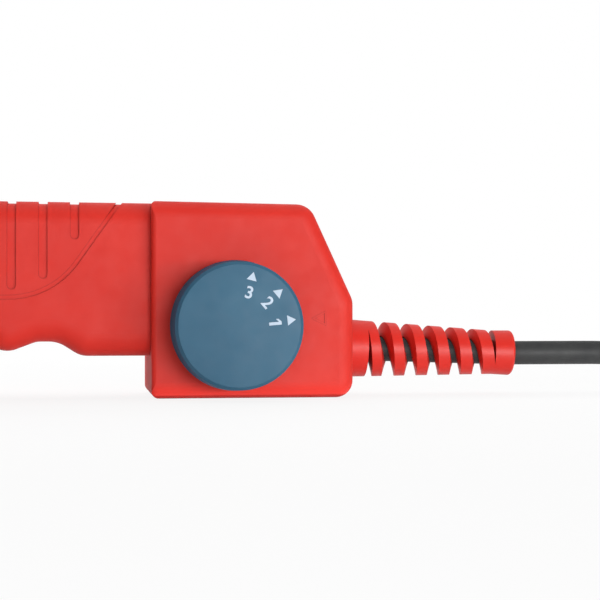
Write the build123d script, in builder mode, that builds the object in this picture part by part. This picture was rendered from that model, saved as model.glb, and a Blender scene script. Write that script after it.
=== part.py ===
from build123d import *
import math
import os

os.makedirs("parts", exist_ok=True)

# The tool rests on its control box and its hand guard, with +Z up. X runs from the heating blade to
# the cord, Y = 0 is the plane where the two casing halves meet, and the dial axis crosses X = 0.

# Clearances
running_clearance = 0.05
press_clearance = 0.02
passing_clearance = 0.3
cut_margin = 2.0

# Control box
box_length = 59.0
box_depth = 44.0
box_height_front = 57.1
box_height_rear = 56.4
slant_foot_height = 28.4
slant_setback = 12.9
box_bottom_corner = 5.0
slant_corner = 6.0
box_edge = 4.8
box_front_bottom_corner = 2.4
box_front_top_corner = 1.5
box_front_edge = 1.3
wall = 2.6

# Grip
grip_length = 116.0
grip_thickness = 36.0
grip_bottom = 12.25
grip_top_rear = 56.7
grip_top_front = 57.5
grip_top_edge = 6.5
grip_belly_edge = 6.6
heel_length = 20.1
finger_count = 4
finger_pitch = 20.6
hollow_depth = 4.2
hollow_floor = 6.1
hollow_rear_angle = 32.8
hollow_front_angle = 20.7
hollow_rear_radius = 8.9
hollow_front_radius = 6.5
crest_radius = 7.2

# Moulded pattern on both sides of the grip: slots, a curved groove and a sunk blank field
slot_width = 2.6
slot_depth = 0.6
slot_distances = [21.8, 30.8, 39.7]
slot_feet = [47.2, 35.9, 32.8]
groove_width = 1.4
groove_depth = 0.45
groove_top_distance = 9.0
groove_angle = 54.8
groove_level = 29.3
groove_end_distance = 40.5
field_gap = 3.0
field_length = 29.0
field_height = 25.7
field_bottom = 25.1
field_corner = 2.0

# Hand guard
guard_length = 16.0
guard_height = 60.0
guard_width = 44.0
guard_corner = 12.0
guard_edge = 3.0
guard_front_wall = 3.0

# Casing screws
boss_radius = 4.5
boss_bite = 0.8
heel_boss_distance = 7.0
heel_boss_heights = [46.0, 19.9]
palm_boss_distance = 62.4
palm_boss_height = 22.2
guard_boss_distance = 9.0
floor_boss_distance = 7.5
floor_boss_height = 8.5
roof_boss_distance = 4.6
roof_boss_drop = 8.6
screw_radius = 1.45
screw_head_radius = 2.75
screw_head_height = 2.2
screw_length = 13.0
screw_hole_spare = 1.0
screw_head_round = 0.6
screw_seat = 4.0
screw_hole_radius = 1.7
screw_well_radius = 3.1
screw_recess_radius = 1.3
screw_recess_depth = 1.2

# Selector dial
dial_setback = 24.0
dial_height = 21.2
knob_base_radius = 18.8
knob_top_radius = 18.1
knob_height = 12.4
knob_gap = 0.5
knob_edge = 0.85
knob_wall = 2.0
knob_roof = 2.2
hub_radius = 5.2
shaft_radius = 3.0
shaft_bite = 1.0
bush_radius = 4.5
bush_length = 5.6
hub_gap = 0.4
washer_radius = 7.5
washer_thickness = 0.6
nut_across_flats = 12.0
nut_thickness = 2.0
switch_width = 22.0
switch_depth = 12.0
switch_corner = 1.5
rotor_radius = 8.0
rotor_thickness = 2.6
rotor_setback = 2.2
index_tip_gap = 3.4
index_length = 4.3
index_line = 0.45
index_rise = 0.15
index_lift = 2.0

# Pilot lamps on the sloping face
lamp_radius = 2.5
lamp_spread = 9.0
lamp_rise = 0.6
lamp_round = 0.48
lamp_depth = 7.0
lamp_flange_radius = 3.4
lamp_flange_thickness = 1.2

# Strain relief
relief_height = 13.95
relief_tilt = 1.87
relief_length = 52.4
relief_base_radius = 8.75
relief_waist_radius = 6.7
relief_end_radius = 6.9
relief_neck_radius = 6.6
relief_flange_thickness = 2.4
relief_seat_gap = 0.4
relief_collar = 6.6
relief_end_collar = 6.2
relief_end_round = 1.0
coil_slot_pitch = 6.95
coil_slot_start = 10.65
coil_slot_turns = 7
coil_slot_root = 1.6
coil_slot_draft = 15.0
coil_slot_spine_radius = 6.2
coil_slot_overcut = 1.0
coil_slot_undercut = 0.8

# Mains lead
cord_radius = 3.65
cord_bore_gap = 0.3
sheath_end_distance = 16.5
core_radius = 1.1
core_pitch = 2.4
core_straight = 4.0
bend_share = 0.45

# Cord clamp
clamp_distance = 7.0
clamp_length = 7.0
clamp_height = 22.0
clamp_thickness = 6.0
clamp_corner = 1.5
clamp_parting = 0.5
clamp_screw_spread = 8.0
clamp_screw_radius = 1.4
clamp_screw_head_radius = 2.6
clamp_screw_head_height = 2.0
clamp_screw_length = 13.0

# Mains terminal
terminal_length = 14.0
terminal_width = 10.0
terminal_height = 14.0
terminal_distance = 31.0
terminal_setback = 6.4
terminal_floor_gap = 2.2
terminal_pitch = 4.0
terminal_hole_depth = 4.0
pedestal_margin = 1.5

# Control board
board_length = 31.0
board_height = 23.0
board_thickness = 1.6
board_front_gap = 2.0
board_drop = 9.9
board_stand = 9.8
board_screw_inset = 3.0
board_post_radius = 2.6
board_screw_radius = 1.0
board_screw_head_radius = 1.9
board_screw_head_height = 1.5
board_screw_length = 7.0
relay_length = 14.0
relay_height = 12.0
relay_depth = 12.0
relay_round = 0.6
capacitor_radius = 3.6
capacitor_length = 11.0
capacitor_round = 0.5
triac_height = 6.6
triac_thickness = 4.0
heatsink_width = 10.0
heatsink_height = 7.6
heatsink_base = 2.0
heatsink_fin = 1.2
heatsink_fin_rise = 7.0
component_inset = 1.0
heater_terminal_length = 9.0
heater_terminal_height = 8.0
heater_terminal_depth = 14.6

# Neck
neck_height = 34.9
neck_block_thickness = 16.0
neck_block_length = 12.0
neck_block_height = 25.0
bar_thickness = 2.0
bar_height = 19.6
bar_tail = 34.0
bar_reach = 56.0
bar_corner = 2.0
bolt_radius = 2.5
bolt_head_flats = 8.0
bolt_head_height = 3.2
bolt_nut_height = 3.6
bolt_point = 1.0
neck_bolt_spread = 7.0
neck_bolt_inset = 5.2
lead_pitch = 4.5
shield_thickness = 1.2
shield_inset = 3.5
shield_screw_spread_y = 28.0
shield_screw_spread_z = 36.0
shield_screw_radius = 1.25
shield_screw_head_radius = 2.8
shield_screw_head_height = 1.8
shield_screw_head_round = 1.1
shield_screw_length = 6.0

# Heating blade
blade_gap = 40.0
blade_length = 110.0
blade_height = 44.0
blade_thickness = 14.0
blade_heel_corner = 4.0
blade_nose_corner = 20.0
blade_edge = 1.2
pad_thickness = 1.0
blade_bolt_spread = 6.0
blade_bolt_inset = 8.0
heater_radius = 4.0
heater_spread = 14.0
heater_length = 100.0
heater_stub = 3.0
heater_lead_radius = 2.0
heater_lead_straight = 10.0
heater_lead_gap = 14.0
sensor_radius = 2.0
sensor_length = 38.0
sensor_lead_radius = 1.2

# Welding dies for 25 mm pipe
pipe_radius = 12.5
die_radius = 18.0
die_base = 9.0
die_reach = 18.0
die_edge = 1.0
die_bolt_radius = 4.0
die_hole_radius = 4.2
die_front_inset = 24.0
die_pitch = 42.0
die_bolt_head_radius = 6.5
die_bolt_head_height = 4.4
die_head_recess = 5.0
die_head_gap = 0.5
die_bolt_socket_flats = 6.0
die_bolt_socket_depth = 2.6
die_thread_depth = 14.0

# Earth bond
earth_lead_radius = 1.2
earth_drop = 6.0
earth_inset = 5.0
lug_thickness = 0.8
lug_radius = 4.0
lug_barrel_length = 7.0
lug_barrel_wall = 0.5
lug_barrel_stop = 1.5
lug_overlap = 1.0
earth_screw_radius = 2.0
earth_screw_head_radius = 3.4
earth_screw_head_height = 2.2
earth_screw_point = 0.8
earth_run = 4.0
earth_rear_bend = 5.0
earth_front_bend = 26.0
earth_bend_shift = 0.8

# Free lead: each bend's distance behind the strain relief, its shift aside and its share of the fall
lead_bends = [(32.1, 0.0, 0.0), (47.1, 5.2, 0.2), (60.1, 16.0, 0.8), (75.1, 21.2, 1.0)]

# Put-away length of the lead: a hank of long flat turns in two layers
coil_inner_radius = 22.0
coil_pitch = 9.2
coil_layer_step = 9.2
coil_half_turns_in = 3
coil_half_turns_out = 4
coil_run = 110.0
coil_floor_gap = 0.7
coil_distance = 149.8
tie_width = 12.0
tie_thickness = 0.5
tie_gap = 0.4
tie_corner = 1.0
tail_run = 22.0
tail_climb = 44.0

# Plug
plug_radius = 18.2
plug_front_length = 17.0
plug_cone_length = 15.0
plug_sleeve_length = 22.0
plug_sleeve_start_radius = 5.2
plug_sleeve_end_radius = 7.0
plug_edge = 1.5
plug_half_height = 13.0
plug_lift = 0.1
plug_pin_radius = 2.4
plug_pin_length = 19.0
plug_pin_seat = 8.0
plug_pin_pitch = 19.0
plug_strip_width = 5.0
plug_strip_length = 12.0
plug_strip_thickness = 1.0
plug_strip_inset = 0.1

# Places worked out from the sizes above
box_front = -dial_setback
box_rear = box_front + box_length
box_half = box_depth / 2
inner_half = box_half - wall
slant_top = box_rear - slant_setback
grip_half = grip_thickness / 2
grip_inner_half = grip_half - wall
guard_rear = box_front - grip_length
guard_front = guard_rear - guard_length
guard_inner_front = guard_front + guard_front_wall
field_middle = box_front - groove_end_distance - field_gap - field_length / 2
blade_heel = guard_front - blade_gap
blade_nose = blade_heel - blade_length
blade_half = blade_thickness / 2
bar_inner = neck_block_thickness / 2
bar_outer = bar_inner + bar_thickness
bar_front = guard_front - bar_reach
bar_rear = guard_front + bar_tail
neck_bolt_x = guard_inner_front + neck_bolt_inset
blade_bolt_x = blade_heel - blade_bolt_inset
front_die_x = blade_nose + die_front_inset
rear_die_x = front_die_x + die_pitch
knob_base = -box_half - knob_gap
knob_top = knob_base - knob_height
bush_end = -inner_half - bush_length
hub_end = bush_end - hub_gap
shaft_end = knob_top + shaft_bite
board_back = inner_half - board_stand
board_face = board_back - board_thickness
board_front = box_front + wall + board_front_gap
board_middle_x = board_front + board_length / 2
board_bottom = neck_height - board_drop
board_middle_z = board_bottom + board_height / 2
terminal_rear = box_rear - terminal_distance
terminal_front = terminal_rear - terminal_length
terminal_back = inner_half - terminal_setback
terminal_middle_y = terminal_back - terminal_width / 2
terminal_bottom = wall + terminal_floor_gap
terminal_middle_z = terminal_bottom + terminal_height / 2

guard_boss_rise = bar_height / 2 + passing_clearance + boss_radius
grip_boss_places = [
    (box_front - heel_boss_distance, heel_boss_heights[0]),
    (box_front - heel_boss_distance, heel_boss_heights[1]),
    (guard_rear + guard_boss_distance, neck_height + guard_boss_rise),
    (guard_rear + guard_boss_distance, neck_height - guard_boss_rise),
    (box_front - palm_boss_distance, palm_boss_height),
]
box_boss_places = [
    (box_front + floor_boss_distance, floor_boss_height),
    (slant_top - roof_boss_distance, box_height_rear - roof_boss_drop),
]
boss_places = grip_boss_places + box_boss_places
shield_screw_places = [
    (side * shield_screw_spread_y / 2, guard_height / 2 + rise * shield_screw_spread_z / 2)
    for side in (-1, 1)
    for rise in (-1, 1)
]
board_screw_places = [
    (board_middle_x + side * (board_length / 2 - board_screw_inset),
     board_middle_z + rise * (board_height / 2 - board_screw_inset))
    for side, rise in ((-1, -1), (-1, 1), (1, -1))
]

dial_axis = Axis((0, 0, dial_height), (0, 1, 0))
relief_angle = math.radians(relief_tilt)
relief_axis = Vector(math.cos(relief_angle), 0, -math.sin(relief_angle))
relief_origin = Vector(box_rear, 0, relief_height)
relief_plane = Plane(origin=relief_origin, x_dir=relief_axis, z_dir=(0, -1, 0))
relief_end = relief_origin + relief_axis * relief_length
relief_bore = cord_radius + cord_bore_gap
clamp_middle_x = box_rear - clamp_distance - clamp_length / 2
clamp_middle_z = relief_height + (box_rear - clamp_middle_x) * math.tan(relief_angle)
clamp_screw_places = [
    (clamp_middle_x, clamp_middle_z - clamp_screw_spread),
    (clamp_middle_x, clamp_middle_z + clamp_screw_spread),
]


def across(y):
    """Sketch plane at Y = y, drawn in X and Z and facing the dial side."""
    return Plane.XZ.offset(-y)


def box_top(x):
    """Height of the box's top face."""
    return box_height_front + (box_height_rear - box_height_front) * (x - box_front) / (slant_top - box_front)


def grip_top(x):
    """Height of the grip's back."""
    return grip_top_rear + (grip_top_front - grip_top_rear) * (box_front - x) / grip_length


def box_outline(front_x, inset):
    """Side view of the box behind front_x, with its rear corners rounded, drawn in by inset."""
    with BuildSketch(Plane.XZ) as outline:
        with BuildLine():
            rim = FilletPolyline(
                (front_x, 0),
                (box_rear, 0),
                (box_rear, slant_foot_height),
                (slant_top, box_height_rear),
                (front_x, box_top(front_x)),
                radius=[box_bottom_corner, slant_corner, slant_corner],
            )
            Line(rim @ 1, rim @ 0)
        make_face()
        if inset > 0:
            offset(amount=-inset, kind=Kind.INTERSECTION, mode=Mode.REPLACE)
    return outline.sketch


def grip_outline(rear_x, front_x, inset):
    """Side view of the grip with its finger hollows, drawn in by inset."""
    rear_slope = math.tan(math.radians(hollow_rear_angle))
    front_slope = math.tan(math.radians(hollow_front_angle))
    hollow_height = grip_bottom + hollow_depth
    crest_drop = (finger_pitch - hollow_floor) / (1 / rear_slope + 1 / front_slope)
    heel_end = box_front - heel_length
    belly = [(rear_x, grip_bottom), (heel_end, grip_bottom)]
    radii = [crest_radius]
    for finger in range(finger_count):
        floor_rear = heel_end - hollow_depth / rear_slope - finger * finger_pitch
        floor_front = floor_rear - hollow_floor
        drop = crest_drop if finger < finger_count - 1 else hollow_depth
        belly.append((floor_rear, hollow_height))
        belly.append((floor_front, hollow_height))
        belly.append((floor_front - drop / front_slope, hollow_height - drop))
        radii += [hollow_rear_radius, hollow_front_radius, crest_radius]
    belly.append((front_x, grip_bottom))
    with BuildSketch(Plane.XZ) as outline:
        with BuildLine():
            FilletPolyline(*belly, radius=radii)
            Polyline(belly[-1], (front_x, grip_top(front_x)), (rear_x, grip_top(rear_x)), belly[0])
        make_face()
        if inset > 0:
            offset(amount=-inset, kind=Kind.INTERSECTION, mode=Mode.REPLACE)
    return outline.sketch


def grip_form(rear_x, front_x, inset):
    """The grip as a solid with rounded long edges, drawn in by inset on every side."""
    with BuildPart() as form:
        extrude(grip_outline(rear_x, front_x, inset), amount=grip_half - inset, both=True)
        rim = form.faces().filter_by(Axis.Y).edges()
        fillet(rim.sort_by(Axis.Z)[-2:], grip_top_edge - inset)
        rim = form.faces().filter_by(Axis.Y).edges()
        belly_limit = grip_bottom + 2 * hollow_depth
        fillet(rim.filter_by(lambda edge: edge.center().Z < belly_limit), grip_belly_edge - inset)
    return form.part


def pattern_cut(sketch, depth):
    """What a mould pattern of even depth takes off the grip, all round its section."""
    with BuildPart() as cut:
        extrude(sketch, amount=grip_half + cut_margin, both=True)
        add(grip_form(box_front, guard_rear, depth), mode=Mode.SUBTRACT)
    return cut.part


# Outer forms of the casing
with BuildPart() as box_front_form:
    with BuildSketch(Plane.XZ):
        with BuildLine():
            far_x = box_rear + cut_margin
            front_rim = FilletPolyline(
                (far_x, 0),
                (box_front, 0),
                (box_front, box_top(box_front)),
                (far_x, box_top(far_x)),
                radius=[box_front_bottom_corner, box_front_top_corner],
            )
            Line(front_rim @ 1, front_rim @ 0)
        make_face()
    extrude(amount=box_half, both=True)
    fillet(box_front_form.faces().filter_by(Axis.Y).edges().sort_by(Axis.X)[:-2], box_front_edge)

with BuildPart() as box_form:
    extrude(box_outline(box_front - box_edge - cut_margin, 0), amount=box_half, both=True)
    fillet(box_form.faces().filter_by(Axis.Y).edges().sort_by(Axis.X)[2:], box_edge)
    add(box_front_form.part, mode=Mode.INTERSECT)

with BuildPart() as guard_form:
    with BuildSketch(Plane.YZ.offset(guard_front)):
        with Locations((0, guard_height / 2)):
            RectangleRounded(guard_width, guard_height, guard_corner)
    extrude(amount=guard_length)
    fillet(guard_form.faces().filter_by(Axis.X).edges(), guard_edge)

# Room inside the casing
with BuildPart() as box_room:
    extrude(box_outline(box_front, wall), amount=inner_half, both=True)
    fillet(box_room.faces().filter_by(Axis.Y).edges(), box_edge - wall)

with BuildPart() as guard_room:
    with BuildSketch(Plane.YZ.offset(guard_inner_front)):
        with Locations((0, guard_height / 2)):
            RectangleRounded(guard_width - 2 * wall, guard_height - 2 * wall, guard_corner - wall)
    extrude(amount=guard_length - guard_front_wall - wall)

with BuildPart() as casing_room:
    add(box_room.part)
    add(guard_room.part)
    add(grip_form(box_front + 3 * wall, guard_inner_front, wall))

# Mould pattern of the grip, drawn for its rear half and mirrored to its front half
with BuildSketch(Plane.XZ) as slot_pattern:
    for distance, foot in zip(slot_distances, slot_feet):
        slot_top = grip_top_front + cut_margin
        with Locations((box_front - distance, (foot + slot_top) / 2)):
            Rectangle(slot_width, slot_top - foot)
        with Locations((box_front - distance, foot)):
            Circle(slot_width / 2)
    mirror(about=Plane.YZ.offset(field_middle))

with BuildSketch(Plane.XZ) as groove_pattern:
    with BuildLine() as groove_line:
        groove_top = grip_top_front + cut_margin
        fall = math.tan(math.radians(groove_angle))
        groove_foot = (groove_top - groove_level) / fall
        groove_start_x = box_front - groove_top_distance + (groove_top - grip_top_rear) / fall
        groove_corner_x = groove_start_x - groove_foot
        groove_radius = (groove_corner_x - box_front + groove_end_distance) / math.tan(
            math.radians(groove_angle / 2)
        )
        FilletPolyline(
            (groove_start_x, groove_top),
            (groove_corner_x, groove_level),
            (box_front - groove_end_distance - field_gap, groove_level),
            radius=[groove_radius],
        )
    trace(groove_line.line, groove_width)
    mirror(about=Plane.YZ.offset(field_middle))
    with Locations((field_middle, field_bottom + field_height / 2)):
        RectangleRounded(field_length, field_height, field_corner)

# Both casing halves before they are parted
slant_run = Vector(box_rear - slant_top, 0, slant_foot_height - box_height_rear)
slant_normal = Vector(-slant_run.Z, 0, slant_run.X).normalized()
slant_middle = Vector((box_rear + slant_top) / 2, 0, (slant_foot_height + box_height_rear) / 2)
lamp_planes = [
    Plane(origin=slant_middle + Vector(0, side * lamp_spread, 0), x_dir=(0, 1, 0), z_dir=slant_normal)
    for side in (-1, 1)
]

with BuildPart() as casing:
    add(box_form.part)
    add(grip_form(box_front + wall, guard_rear - wall, 0))
    add(guard_form.part)
    add(casing_room.part, mode=Mode.SUBTRACT)
    add(pattern_cut(slot_pattern.sketch, slot_depth), mode=Mode.SUBTRACT)
    add(pattern_cut(groove_pattern.sketch, groove_depth), mode=Mode.SUBTRACT)
    with BuildSketch(Plane.YZ.offset(box_rear)):
        with Locations((0, relief_height)):
            Circle(relief_neck_radius + passing_clearance)
    extrude(amount=wall + cut_margin, both=True, mode=Mode.SUBTRACT)
    with BuildSketch(Plane.YZ.offset(guard_front)):
        with Locations((0, neck_height)):
            Rectangle(2 * (bar_outer + passing_clearance), bar_height + 2 * passing_clearance)
    extrude(amount=guard_front_wall + cut_margin, both=True, mode=Mode.SUBTRACT)
    with BuildSketch(Plane.YZ.offset(guard_front)):
        with Locations(*shield_screw_places):
            Circle(shield_screw_radius + press_clearance)
    extrude(amount=guard_front_wall + cut_margin, both=True, mode=Mode.SUBTRACT)
    with BuildSketch(*lamp_planes):
        Circle(lamp_radius + 2 * running_clearance)
    extrude(amount=wall + cut_margin, both=True, mode=Mode.SUBTRACT)

with BuildPart() as left_shell:
    add(casing.part)
    split(bisect_by=Plane.XZ, keep=Keep.TOP)
    with BuildSketch(Plane.XZ):
        with Locations(*grip_boss_places):
            Circle(boss_radius)
    extrude(amount=grip_inner_half + boss_bite)
    with BuildSketch(Plane.XZ):
        with Locations(*box_boss_places):
            Circle(boss_radius)
    extrude(amount=inner_half + boss_bite)
    with BuildSketch(Plane.XZ):
        with Locations(*boss_places):
            Circle(screw_radius + press_clearance)
    extrude(amount=screw_length - screw_seat + screw_hole_spare, mode=Mode.SUBTRACT)
    with BuildSketch(across(-inner_half)):
        with Locations((0, dial_height)):
            Circle(bush_radius + passing_clearance / 2)
    extrude(amount=wall + cut_margin, mode=Mode.SUBTRACT)
    with BuildSketch(across(-box_half)):
        with BuildLine():
            tip_x = knob_base_radius + index_tip_gap
            half_rise = index_length / 2
            index_z = dial_height + index_lift
            Polyline(
                (tip_x, index_z),
                (tip_x + index_length, index_z - half_rise),
                (tip_x + index_length, index_z + half_rise),
                close=True,
            )
        make_face()
        offset(amount=-index_line, kind=Kind.INTERSECTION, mode=Mode.SUBTRACT)
    extrude(amount=index_rise)

with BuildPart() as right_shell:
    add(casing.part)
    split(bisect_by=Plane.XZ, keep=Keep.BOTTOM)
    with BuildSketch(Plane.XZ):
        with Locations(*grip_boss_places):
            Circle(boss_radius)
    extrude(amount=-(grip_inner_half + boss_bite))
    with BuildSketch(Plane.XZ):
        with Locations(*box_boss_places):
            Circle(boss_radius)
    extrude(amount=-(inner_half + boss_bite))
    with BuildSketch(across(board_back)):
        with Locations(*board_screw_places):
            Circle(board_post_radius)
    extrude(amount=-(board_stand + boss_bite))
    with BuildSketch(across(terminal_back)):
        with Locations(((terminal_front + terminal_rear) / 2, terminal_middle_z)):
            Rectangle(terminal_length - 2 * pedestal_margin, terminal_height - 2 * pedestal_margin)
    extrude(amount=-(terminal_setback + boss_bite))
    with BuildSketch(across(clamp_parting)):
        with Locations((clamp_middle_x, clamp_middle_z)):
            Rectangle(clamp_length, clamp_height)
    extrude(amount=-(inner_half + boss_bite - clamp_parting))
    with BuildSketch(Plane.YZ.offset(clamp_middle_x)):
        with Locations((0, clamp_middle_z)):
            Circle(cord_radius + passing_clearance)
    extrude(amount=clamp_length, both=True, mode=Mode.SUBTRACT)
    with BuildSketch(across(clamp_parting)):
        with Locations(*clamp_screw_places):
            Circle(clamp_screw_radius + press_clearance)
    extrude(amount=-clamp_screw_length, mode=Mode.SUBTRACT)
    with BuildSketch(across(board_back)):
        with Locations(*board_screw_places):
            Circle(board_screw_radius + press_clearance)
    extrude(amount=-board_screw_length, mode=Mode.SUBTRACT)
    with BuildSketch(Plane.XZ):
        with Locations(*boss_places):
            Circle(screw_hole_radius)
    extrude(amount=-(box_half + cut_margin), mode=Mode.SUBTRACT)
    with BuildSketch(across(screw_seat)):
        with Locations(*boss_places):
            Circle(screw_well_radius)
    extrude(amount=-(box_half + cut_margin), mode=Mode.SUBTRACT)

left_shell.part.label = "left_shell"
export_step(left_shell.part, "parts/left_shell.step")
right_shell.part.label = "right_shell"
export_step(right_shell.part, "parts/right_shell.step")

with BuildPart() as shell_screws:
    with BuildSketch(across(screw_seat)):
        with Locations(*boss_places):
            Circle(screw_radius)
    extrude(amount=screw_length)
    with BuildSketch(across(screw_seat)):
        with Locations(*boss_places):
            Circle(screw_head_radius)
    extrude(amount=-screw_head_height)
    with BuildSketch(across(screw_seat + screw_head_height)):
        with Locations(*boss_places):
            Circle(screw_recess_radius)
    extrude(amount=screw_recess_depth, mode=Mode.SUBTRACT)
    head_faces = shell_screws.faces().filter_by(Axis.Y).sort_by(Axis.Y)[-len(boss_places):]
    fillet(head_faces.edges().filter_by(lambda edge: edge.radius > screw_radius), screw_head_round)

shell_screws.part.label = "shell_screws"
export_step(shell_screws.part, "parts/shell_screws.step")

# Selector dial and switch
with BuildPart() as dial_knob:
    with BuildSketch(Plane.YZ):
        with BuildLine():
            bore_radius = shaft_radius + press_clearance
            Polyline(
                (knob_top, dial_height),
                (knob_top, dial_height + knob_top_radius),
                (knob_base, dial_height + knob_base_radius),
                (knob_base, dial_height + knob_base_radius - knob_wall),
                (knob_top + knob_roof, dial_height + knob_base_radius - knob_wall),
                (knob_top + knob_roof, dial_height + hub_radius),
                (hub_end, dial_height + hub_radius),
                (hub_end, dial_height + bore_radius),
                (shaft_end - press_clearance, dial_height + bore_radius),
                (shaft_end - press_clearance, dial_height),
                close=True,
            )
        make_face()
    revolve(axis=dial_axis)
    rims = dial_knob.edges().filter_by(GeomType.CIRCLE).group_by(Axis.Y)
    chamfer(rims[0].sort_by(SortBy.RADIUS)[-1], knob_edge)

dial_knob.part.label = "dial_knob"
export_step(dial_knob.part, "parts/dial_knob.step")

rotor_room_start = -inner_half + rotor_setback
rotor_room_end = rotor_room_start + rotor_thickness + passing_clearance

with BuildPart() as selector_switch:
    with BuildSketch(across(-inner_half)):
        with Locations((0, dial_height)):
            RectangleRounded(switch_width, switch_width, switch_corner)
    extrude(amount=-switch_depth)
    with BuildSketch(across(-inner_half)):
        with Locations((0, dial_height)):
            Circle(bush_radius)
    extrude(amount=bush_length)
    with BuildSketch(across(rotor_room_start)):
        with Locations((0, dial_height)):
            Circle(rotor_radius + passing_clearance)
    extrude(amount=-(rotor_room_end - rotor_room_start), mode=Mode.SUBTRACT)
    with BuildSketch(across(rotor_room_start)):
        with Locations((0, dial_height)):
            Circle(shaft_radius + running_clearance)
    extrude(amount=rotor_room_start - bush_end + cut_margin, mode=Mode.SUBTRACT)

selector_switch.part.label = "selector_switch"
export_step(selector_switch.part, "parts/selector_switch.step")

with BuildPart() as selector_shaft:
    rotor_start = rotor_room_start + passing_clearance / 2
    with BuildSketch(across(rotor_start)):
        with Locations((0, dial_height)):
            Circle(rotor_radius)
    extrude(amount=-rotor_thickness)
    with BuildSketch(across(rotor_start)):
        with Locations((0, dial_height)):
            Circle(shaft_radius)
    extrude(amount=rotor_start - shaft_end)

selector_shaft.part.label = "selector_shaft"
export_step(selector_shaft.part, "parts/selector_shaft.step")

with BuildPart() as selector_washer:
    with BuildSketch(across(-box_half)):
        with Locations((0, dial_height)):
            Circle(washer_radius)
            Circle(bush_radius + running_clearance, mode=Mode.SUBTRACT)
    extrude(amount=washer_thickness)

selector_washer.part.label = "selector_washer"
export_step(selector_washer.part, "parts/selector_washer.step")

with BuildPart() as selector_nut:
    with BuildSketch(across(-box_half - washer_thickness)):
        with Locations((0, dial_height)):
            RegularPolygon(nut_across_flats / 2, 6, major_radius=False)
            Circle(bush_radius + press_clearance, mode=Mode.SUBTRACT)
    extrude(amount=nut_thickness)

selector_nut.part.label = "selector_nut"
export_step(selector_nut.part, "parts/selector_nut.step")

# Pilot lamps
with BuildPart() as power_lamp:
    with BuildSketch(lamp_planes[0]):
        Circle(lamp_radius)
    extrude(amount=lamp_rise)
    lamp_front = power_lamp.faces().sort_by(Axis(slant_middle, slant_normal))[-1]
    fillet(lamp_front.edges(), lamp_round)
    with BuildSketch(lamp_planes[0]):
        Circle(lamp_radius)
    extrude(amount=-lamp_depth)
    with BuildSketch(lamp_planes[0].offset(-wall)):
        Circle(lamp_flange_radius)
    extrude(amount=-lamp_flange_thickness)

power_lamp.part.label = "power_lamp"
export_step(power_lamp.part, "parts/power_lamp.step")

with BuildPart() as ready_lamp:
    add(power_lamp.part)
    mirror(about=Plane.XZ, mode=Mode.REPLACE)

ready_lamp.part.label = "ready_lamp"
export_step(ready_lamp.part, "parts/ready_lamp.step")

# Strain relief: a tapered sleeve, cut by a helical slot between its two collars
first_turn = coil_slot_start - coil_slot_pitch
slot_reach = relief_base_radius + coil_slot_overcut - coil_slot_spine_radius
slot_dive = relief_bore - coil_slot_undercut - coil_slot_spine_radius
slot_growth = math.tan(math.radians(coil_slot_draft))

with BuildPart() as relief_slot:
    with BuildLine() as slot_path:
        for turn in range(coil_slot_turns):
            Helix(
                coil_slot_pitch,
                coil_slot_pitch,
                coil_slot_spine_radius,
                center=relief_origin + relief_axis * (first_turn + turn * coil_slot_pitch),
                direction=relief_axis,
            )
    slot_spine = Line(
        relief_origin + relief_axis * first_turn,
        relief_origin + relief_axis * (first_turn + coil_slot_turns * coil_slot_pitch),
        mode=Mode.PRIVATE,
    )
    slot_radial = (slot_path.line @ 0) - (slot_spine @ 0)
    with BuildSketch(Plane(origin=slot_path.line @ 0, x_dir=slot_radial, z_dir=slot_path.line % 0)):
        with BuildLine():
            half_root = coil_slot_root / 2 - coil_slot_undercut * slot_growth
            half_mouth = half_root + (slot_reach - slot_dive) * slot_growth
            Polyline(
                (slot_dive, -half_root),
                (slot_reach, -half_mouth),
                (slot_reach, half_mouth),
                (slot_dive, half_root),
                close=True,
            )
        make_face()
    sweep(path=slot_path.line, binormal=slot_spine.edge())
    with BuildSketch(Plane(origin=relief_origin + relief_axis * relief_collar, z_dir=relief_axis)):
        Circle(2 * relief_base_radius)
    extrude(amount=relief_length - relief_collar - relief_end_collar, mode=Mode.INTERSECT)

with BuildPart() as strain_relief:
    with BuildSketch(relief_plane):
        with BuildLine():
            inner_face = -wall - relief_seat_gap
            Polyline(
                (inner_face - relief_flange_thickness, relief_bore),
                (relief_length, relief_bore),
                (relief_length, relief_end_radius),
                (relief_length - relief_end_collar, relief_waist_radius),
                (relief_seat_gap, relief_base_radius),
                (relief_seat_gap, relief_neck_radius),
                (inner_face, relief_neck_radius),
                (inner_face, relief_base_radius),
                (inner_face - relief_flange_thickness, relief_base_radius),
                close=True,
            )
        make_face()
    revolve(axis=Axis(relief_origin, relief_axis))
    end_face = strain_relief.faces().sort_by(Axis.X)[-1]
    fillet(end_face.edges(), relief_end_round)
    add(relief_slot.part, mode=Mode.SUBTRACT)

strain_relief.part.label = "strain_relief"
export_step(strain_relief.part, "parts/strain_relief.step")

# Held end of the mains lead, from inside the box to the end of the strain relief
with BuildPart() as cord_inlet:
    with BuildSketch(Plane(origin=relief_origin - relief_axis * sheath_end_distance, z_dir=relief_axis)):
        Circle(cord_radius)
    extrude(amount=sheath_end_distance + relief_length + cut_margin)
    split(bisect_by=Plane.YZ.offset(relief_end.X), keep=Keep.BOTTOM)

cord_inlet.part.label = "cord_inlet"
export_step(cord_inlet.part, "parts/cord_inlet.step")

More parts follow.
